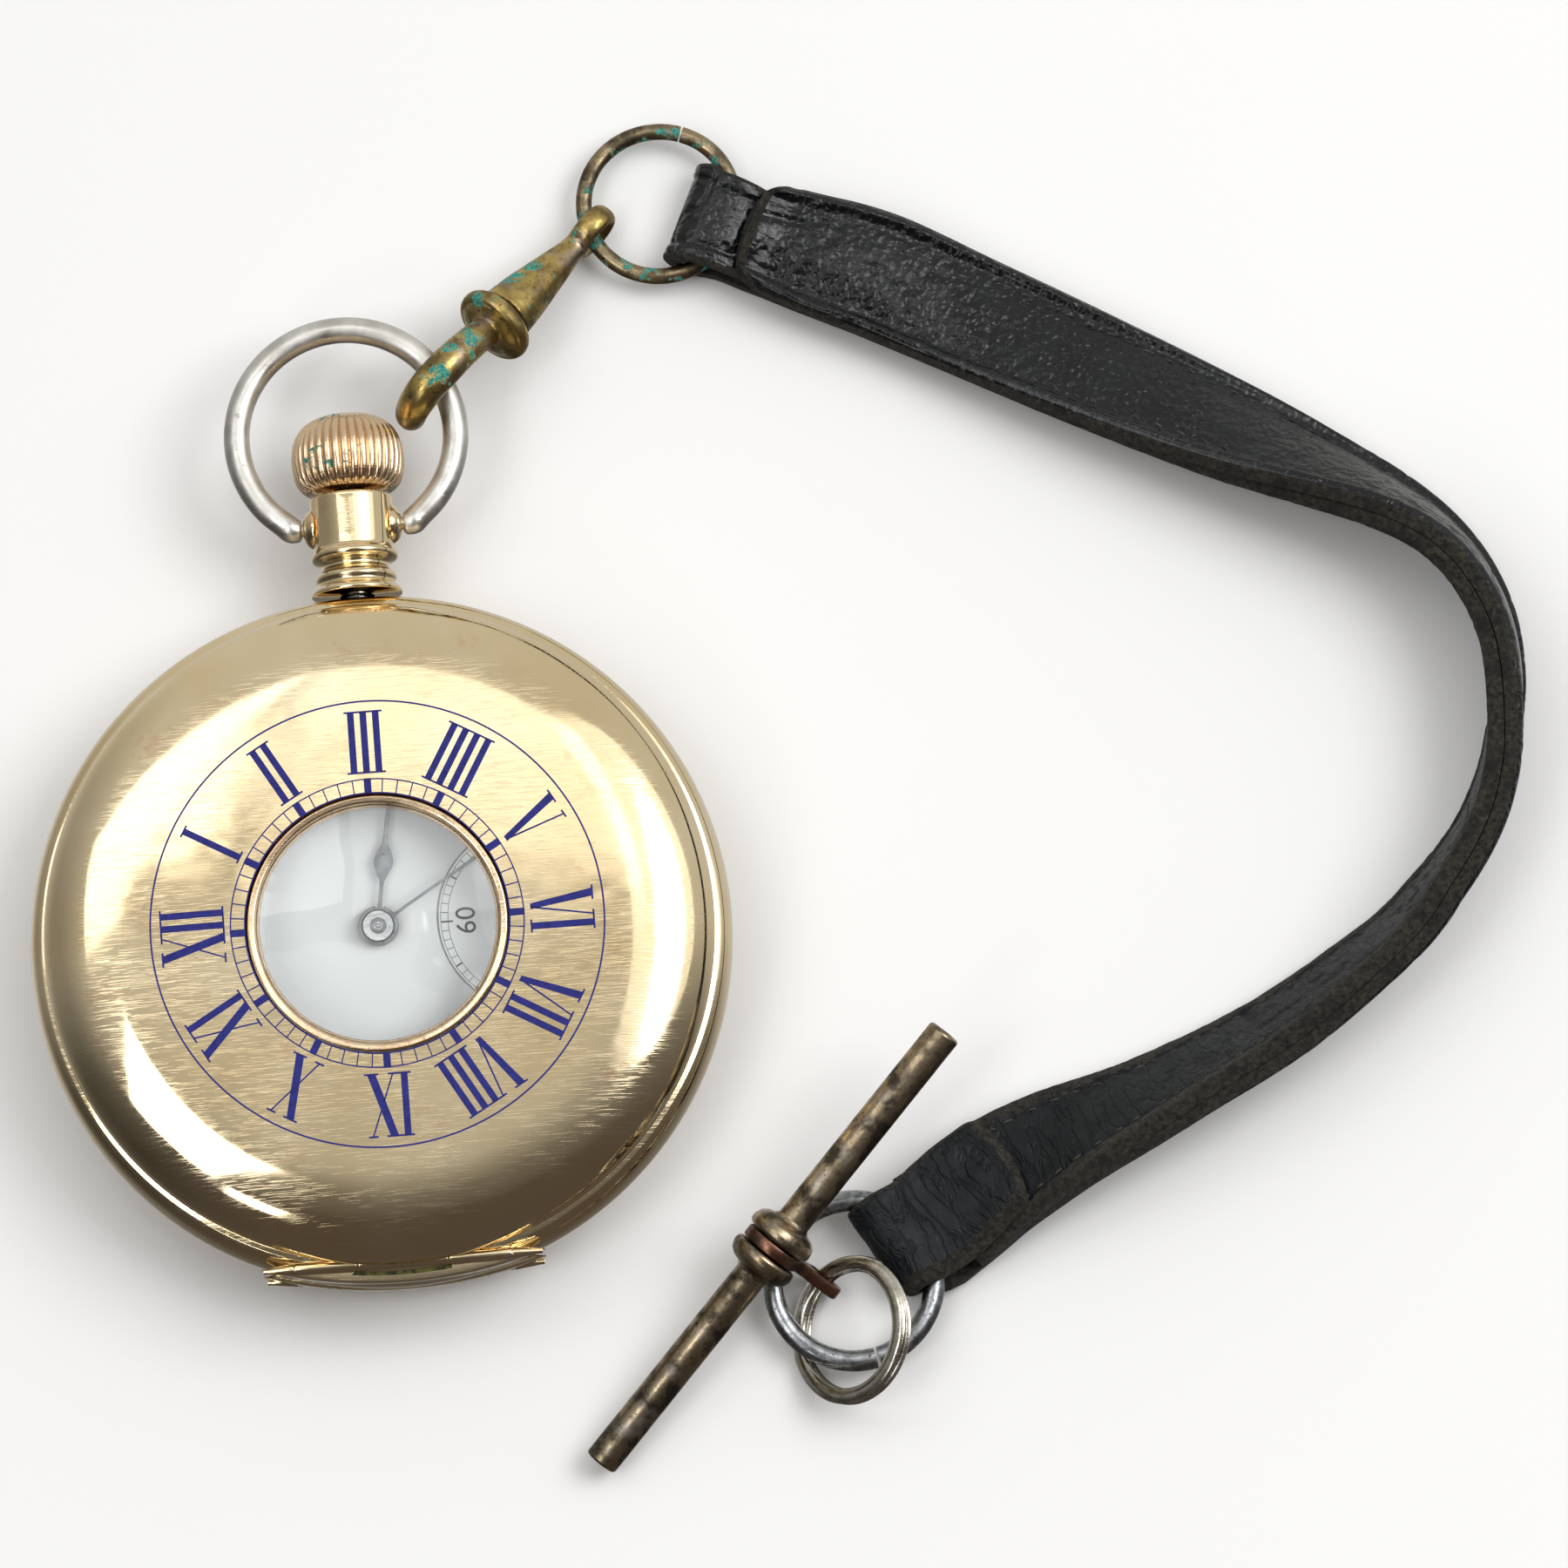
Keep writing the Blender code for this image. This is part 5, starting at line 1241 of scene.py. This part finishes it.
def fold(place, across, ahead, radius, width, count=9):
    """Stations of a half turn that starts at place, goes ahead and comes back radius * 2 higher."""
    made = []
    up = Vector((0, 0, 1))
    for i in range(count):
        turn = math.pi * i / (count - 1)
        point = place + up * radius * (1 - math.cos(turn)) + ahead * radius * math.sin(turn)
        made.append((point, across, width))
    return made


def lining_stations(axis):
    """The back ply: its short tail, the loop round the fob ring, then the length of the strap."""
    across = axis[0][1]
    ahead = (axis[0][0] - axis[2][0]).normalized()
    start = Vector((28.25, 54.35, 0.67))
    made = []
    tail = (7.5, 5.5, 4.2, 3.2, 2.2, 1.2, 0.0)
    heights = (1.93, 2.05, 2.4, 2.95, 3.4, 3.55, 3.57)
    for back, height in zip(tail, heights):
        place = start - ahead * back
        width = 7.6 if back > 5 else 7.0 + 0.1 * (5 - back)
        made.append((Vector((place.x, place.y, height)), across, width))
    made += fold(start, across, ahead, 1.45, 8.0)[::-1][1:]
    made.append((start - ahead * 2.0, across, 7.4))
    for number, (place, side, face) in enumerate(axis[:-2]):
        width = STRAP_WIDTH - 0.5 * (1 - blend(number, 10, 20)) - 1.1 * (1 - blend(number, 0, 5))
        made.append((place - face * PLY_OFFSET, side, width))
    return made


def face_stations(axis):
    """The front ply: over the lining's tail, along the strap, round the steel ring and back as a tongue."""
    made = []
    travelled = 0.0
    for number, (place, side, face) in enumerate(axis):
        if number:
            travelled += (place - axis[number - 1][0]).length
        lifted = 1.3 * (1 - blend(travelled, 4.0, 19.0)) + 0.8 * (1 - blend(travelled, 0, 2.2))
        width = STRAP_WIDTH + 0.5 * (1 - blend(number, 10, 20)) - 1.3 * (1 - blend(number, 0, 4))
        made.append((place + face * (PLY_OFFSET + lifted) + side * 0.08, side, width))
    end, across, face = axis[-1]
    ahead = (axis[-1][0] - axis[-3][0]).normalized()
    start = end + face * PLY_OFFSET + across * 0.45
    made[-1] = (start, across, 8.0)
    made += fold(start + ahead * 0.5, across, ahead, 1.53, 7.9)
    for number, above, width in ((-2, 2.32, 8.1), (-3, 2.14, 8.3), (-4, 2.02, 8.4), (-5, 1.96, 8.2)):
        place, side, face = axis[number]
        made.append((place - face * above + side * 0.2, side, width))
    made.append((made[-1][0] - ahead * 0.9, side, 7.6))
    return made


def hump(distance, centre, width):
    return math.exp(-((distance - centre) / width) ** 2)


def creases(across, along, strength=1.0):
    """Depth of the wandering folds that wear puts across a strap."""
    place = Vector((across * 0.16, along * 0.42, 3.7))
    value = noise.noise(place + Vector((0, noise.noise(place * 2.1) * 0.5, 0)))
    return strength * 0.12 * hump(value, 0.0, 0.055)


class Ply:
    """One ply of the strap, sampled finely: a crowned outer side, round edges and a flat flesh side."""

    COLUMNS = 44

    def __init__(self, stations, outer, relief, start_corner=0.0):
        samples = spline([(*place, *across, width) for place, across, width in stations], 6)
        self.rows = []
        travelled = 0.0
        for i, sample in enumerate(samples):
            before = Vector(samples[max(i - 1, 0)][:3])
            after = Vector(samples[min(i + 1, len(samples) - 1)][:3])
            place = Vector(sample[:3])
            if i:
                travelled += (place - before).length
            along = (after - before).normalized()
            across = Vector(sample[3:6])
            across = (across - along * across.dot(along)).normalized()
            self.rows.append((place, along, across, along.cross(across) * outer, sample[6], travelled))
        self.length = travelled
        self.relief = relief
        self.start_corner = start_corner

    def surface(self, row, side):
        """A point of the outer side, and how far it is from the nearer edge."""
        place, along, across, over, width, travelled = row
        x = side * width / 2
        edge = width / 2 - abs(x)
        rim = 0.42
        height = PLY / 2 - rim + math.sqrt(max(rim**2 - max(rim - edge, 0) ** 2, 0))
        height += self.relief(x, edge, travelled, self.length)
        ends = min(travelled, self.length - travelled)
        height -= 0.3 * (1 - blend(ends, 0, 0.7))
        return place + across * x + over * height + along * self.set_back(side, travelled), edge

    def set_back(self, side, travelled):
        """How far the rounded ends draw this point along the strap."""
        corner = (max(abs(side) - 0.66, 0) / 0.34) ** 2
        start = (self.start_corner * corner - 0.7 * (1 - side**2)) * (1 - blend(travelled, 0, 3))
        return start + 0.7 * (1 - side**2) * (1 - blend(self.length - travelled, 0, 3))

    def mesh(self, cover):
        """The ply as a bmesh. On its outer side cover(x, edge, travelled, length) picks the finish."""
        bm = bmesh.new()
        lie = bm.loops.layers.uv.new("lie")
        rings = []
        for row in self.rows:
            place, along, across, over, width, travelled = row
            ring = []
            for k in range(self.COLUMNS + 1):
                side = -math.cos(math.pi * k / self.COLUMNS)
                side = side * 0.35 + (2 * k / self.COLUMNS - 1) * 0.65
                point, edge = self.surface(row, side)
                ring.append((bm.verts.new(point), side * width / 2, edge))
            for k in range(9):
                side = 1 - 2 * k / 8
                tuck = 0.06 if k in (0, 8) else 0.0
                point = place + across * (side * (width / 2 - tuck)) - over * (PLY / 2 - tuck * 0.8)
                point += along * self.set_back(side, travelled)
                ring.append((bm.verts.new(point), side * width / 2, 0.0))
            rings.append(ring)
        count = len(rings[0])
        for i, (first, second) in enumerate(zip(rings, rings[1:])):
            travelled = self.rows[i][5]
            later = self.rows[i + 1][5]
            for k in range(count):
                j = (k + 1) % count
                corners = (first[k], first[j], second[j], second[k])
                face = bm.faces.new([corner[0] for corner in corners])
                outer_face = k < self.COLUMNS
                edge = min(first[k][2], first[j][2])
                face.material_index = cover(first[k][1], edge, travelled, self.length) if outer_face else 1
                for loop, corner, run in zip(face.loops, corners, (travelled, travelled, later, later)):
                    loop[lie].uv = (corner[1] * MM, run * MM)
        for ring in (rings[0], rings[-1]):
            face = bm.faces.new([corner[0] for corner in ring])
            face.material_index = 1
        return bm

    def row_at(self, distance):
        return min(self.rows, key=lambda row: abs(row[5] - distance))

    def stitches(self, inset, start, end, pitch=1.7):
        """Small slanted thread stitches sunk along both edges."""
        bm = bmesh.new()
        distance = start
        while distance < end:
            for side in (-1, 1):
                row = self.row_at(distance)
                along, across, over, width = row[1:5]
                share = side * (1 - 2 * inset / width)
                point = self.surface(row, share)[0] - over * 0.02
                lean = (along + across * 0.16 * side).normalized()
                shares = (-1, -0.85, -0.4, 0, 0.4, 0.85, 1)
                points = [point + lean * 0.46 * t - over * 0.13 * t**4 for t in shares]
                radii = [0.03, 0.07, 0.10, 0.105, 0.10, 0.07, 0.03]
                loft(wire_sections(points, radii, 8, over), bm=bm)
            distance += pitch
        return bm


def face_relief(x, edge, travelled, length):
    """Beads along the edges, the stitched groove, a padded middle, and folds fanned out by the loop."""
    if travelled > length - TONGUE:
        bevel = 0.42 * (1 - blend(edge, 0.0, 1.15)) * blend(-x, 0, 2)
        rough = 0.10 * noise.noise(Vector((x * 1.6, travelled * 1.6, 3))) * (1 - blend(edge, 0.9, 1.3))
        return 0.08 * noise.noise(Vector((x * 0.7, travelled * 0.4, 3))) + rough - bevel
    bead = 0.30 * hump(edge, 0.70, 0.38) - 0.16 * hump(edge, 1.32, 0.24) - 0.10 * hump(edge, 1.78, 0.2)
    middle = 0.20 * blend(edge, 1.9, 4.2)
    fan = math.atan2(x - 3.4, travelled - 9.0)
    near = (1 - blend(travelled, 5.0, 8.5)) * blend(x, -1.5, 1.0) * blend(edge, 0.5, 1.3)
    sway = 1.3 * noise.noise(Vector((x, travelled, 0)) * 0.5)
    folds = 0.2 * near * max(0.0, math.sin(fan * 17 + sway)) ** 3
    return bead + middle - folds - creases(x, travelled) * blend(edge, 0.3, 1.0)


def lining_relief(x, edge, travelled, length):
    """Rough raised strips along the edges and a smooth sunk middle, creased across."""
    strip = 0.13 * (1 - blend(edge, 0.95, 1.3)) - 0.07 * hump(edge, 1.35, 0.15)
    rough = 0.05 * noise.noise(Vector((x * 1.7, travelled * 1.7, 8.0))) * (1 - blend(edge, 1.0, 1.3))
    return strip + rough - creases(x, travelled + 400, 1.2) * blend(edge, 0.2, 0.8)


def make_strap_pieces():
    """Both plies, each with glazed or smooth leather inside a border of cut edge, and their stitches."""
    axis = strap_axis()
    face = Ply(face_stations(axis), 1, face_relief, start_corner=1.5)
    back = Ply(lining_stations(axis), -1, lining_relief)

    def face_cover(x, edge, travelled, length):
        ragged = 0.3 * noise.noise(Vector((x, travelled, 0)) * 1.7)
        if travelled > length - TONGUE:
            border = 1.05 + ragged if x < 0 else 0.35
            return 1 if edge < border or travelled > length - 0.7 - ragged else 2
        return 1 if edge < 0.12 or travelled < 0.45 + ragged * 0.3 else 0

    def back_cover(x, edge, travelled, length):
        if travelled < LOOP:
            return 1 if edge < 0.35 else 0
        return 1 if edge < 1.05 + 0.3 * noise.noise(Vector((x, travelled, 5)) * 1.7) else 2

    finishes = [LEATHER, SUEDE, SMOOTH_LEATHER]
    piece("strap_top_ply", face.mesh(face_cover), finishes, "strap", ["strap_face"], sharp=70)
    piece("strap_back_ply", back.mesh(back_cover), finishes, "strap", ["strap_lining"], sharp=70)
    top_stitches = face.stitches(1.72, 2.2, face.length - TONGUE - 1)
    piece("strap_top_stitches", top_stitches, THREAD, "strap")
    back_stitches = back.stitches(1.5, LOOP + 3, back.length - 3)
    piece("strap_back_stitches", back_stitches, THREAD, "strap")


# ---------------------------------------------------------------- stage, light and camera

def make_floor():
    bm = bmesh.new()
    bmesh.ops.create_grid(bm, x_segments=4, y_segments=4, size=FLOOR_SIZE)
    floor = placed("floor", mesh_of(bm, "floor"))
    floor.data.materials.append(floor_finish())
    floor.visible_glossy = False


def softbox(name, east, north, size, radiance, shape="RECTANGLE", turn=0.0, distance=0.8):
    """A lamp facing the object. East and north are degrees off the vertical and size is in degrees across."""
    lamp = bpy.data.lights.new(name, "AREA")
    lamp.shape = shape
    lamp.size, lamp.size_y = (2 * distance * math.tan(math.radians(angle / 2)) for angle in size)
    share = math.pi / 4 if shape == "ELLIPSE" else 1.0
    lamp.energy = radiance * math.pi * lamp.size * lamp.size_y * share
    obj = placed(name, lamp)
    off = math.radians(math.hypot(east, north))
    azimuth = math.atan2(north, east)
    out = Vector((math.sin(off) * math.cos(azimuth), math.sin(off) * math.sin(azimuth), math.cos(off)))
    side = Vector((math.cos(math.radians(turn)), math.sin(math.radians(turn)), 0))
    obj.matrix_world = facing(VIEW_TARGET * MM + out * distance, out, side)
    return obj


def make_surroundings():
    """A room of grey walls: light to the north (+Y), dark to the south, where the camera stands."""
    world = bpy.data.worlds.new("studio")
    bpy.context.scene.world = world
    world.use_nodes = True
    tree = world.node_tree
    kinds = ("TexCoord", "SeparateXYZ", "MapRange", "MapRange", "ValToRGB", "VectorMath")
    coordinates, apart, north, west, ramp, shade = (tree.nodes.new("ShaderNode" + kind) for kind in kinds)
    shade.operation = "SCALE"
    stops = ((0.0, (0.085, 0.070, 0.062)), (0.25, (0.09, 0.078, 0.070)), (0.40, (0.17, 0.165, 0.16)),
             (0.48, (0.34, 0.335, 0.325)), (0.57, (0.56, 0.55, 0.53)), (1.0, (0.60, 0.59, 0.56)))
    elements = ramp.color_ramp.elements
    while len(elements) < len(stops):
        elements.new(0.5)
    for element, (position, colour) in zip(elements, stops):
        element.position = position
        element.color = (*colour, 1)
    for node, limits in ((north, (-1.0, 1.0, 0.0, 1.0)), (west, (-0.95, -0.45, 0.45, 1.0))):
        for key, value in zip(("From Min", "From Max", "To Min", "To Max"), limits):
            node.inputs[key].default_value = value
    links = tree.links
    links.new(coordinates.outputs["Generated"], apart.inputs[0])
    links.new(apart.outputs["Y"], north.inputs["Value"])
    links.new(apart.outputs["X"], west.inputs["Value"])
    links.new(north.outputs[0], ramp.inputs["Fac"])
    links.new(ramp.outputs["Color"], shade.inputs[0])
    links.new(west.outputs[0], shade.inputs["Scale"])
    links.new(shade.outputs[0], tree.nodes["Background"].inputs["Color"])


def make_lights():
    softbox("window_left", -23, 18, (31, 14), 1.5)
    softbox("window_right", 4, 18, (20, 15), 0.82)
    softbox("right_glow", 35, 7, (30, 34), 4.2, "ELLIPSE")
    softbox("right_halo", 36, 12, (58, 44), 0.7, "ELLIPSE", distance=0.9)
    softbox("left_diagonal", -27, -10, (28, 15), 3.2, turn=38)
    softbox("left_patch", -28, -35, (9, 11), 4.0, turn=-35)
    softbox("matt_fill", 0, 6, (70, 70), 0.45).visible_glossy = False


def make_camera():
    data = bpy.data.cameras.new("view")
    data.lens = LENS
    data.sensor_width = SENSOR
    data.clip_start = 0.01
    camera = placed("view", data)
    turn, tip = math.radians(VIEW_TURN), math.radians(VIEW_DOWN)
    ahead = Vector((math.cos(tip) * math.sin(turn), math.cos(tip) * math.cos(turn), -math.sin(tip)))
    camera.location = (VIEW_TARGET - ahead * VIEW_DISTANCE) * MM
    camera.rotation_euler = ahead.to_track_quat("-Z", "Y").to_euler()
    bpy.context.scene.camera = camera


def refinish_kept_nodes():
    """New materials for the CAD solids that show as they are."""
    groups = (
        (NICKEL, "main_plate barrel_bridge train_bridge balance_cock"),
        (BRASS, "balance_wheel barrel centre_wheel third_wheel fourth_wheel hour_wheel"),
        (STEEL, "barrel_arbor cannon_pinion click crown_wheel escape_wheel pallet_fork ratchet_wheel"),
        (STEEL, "regulator winding_pinion winding_stem"),
        (BLUE_STEEL, "hairspring mainspring"),
        (GILT, "cuvette"),
    )
    finishes = {node: finish for finish, nodes in groups for node in nodes.split()}
    for node in frame["nodes"]:
        if "screw" in node:
            finishes[node] = BLUE_STEEL
    for node, finish in finishes.items():
        slots = frame["nodes"][node].data.materials
        if slots:
            slots[0] = finish
        else:
            slots.append(finish)


def main():
    make_covers()
    make_window()
    make_case_middle()
    make_crystal_parts()
    make_lid_numerals()
    make_dial_parts()
    make_hand_pieces()
    make_pendant_parts()
    make_crown_piece()
    make_bow_piece()
    make_clip_pieces()
    make_rings()
    make_bar_pieces()
    make_band_piece()
    make_strap_pieces()
    refinish_kept_nodes()
    make_floor()
    make_surroundings()
    make_lights()
    make_camera()
    bpy.context.scene.view_settings.view_transform = "Standard"


main()
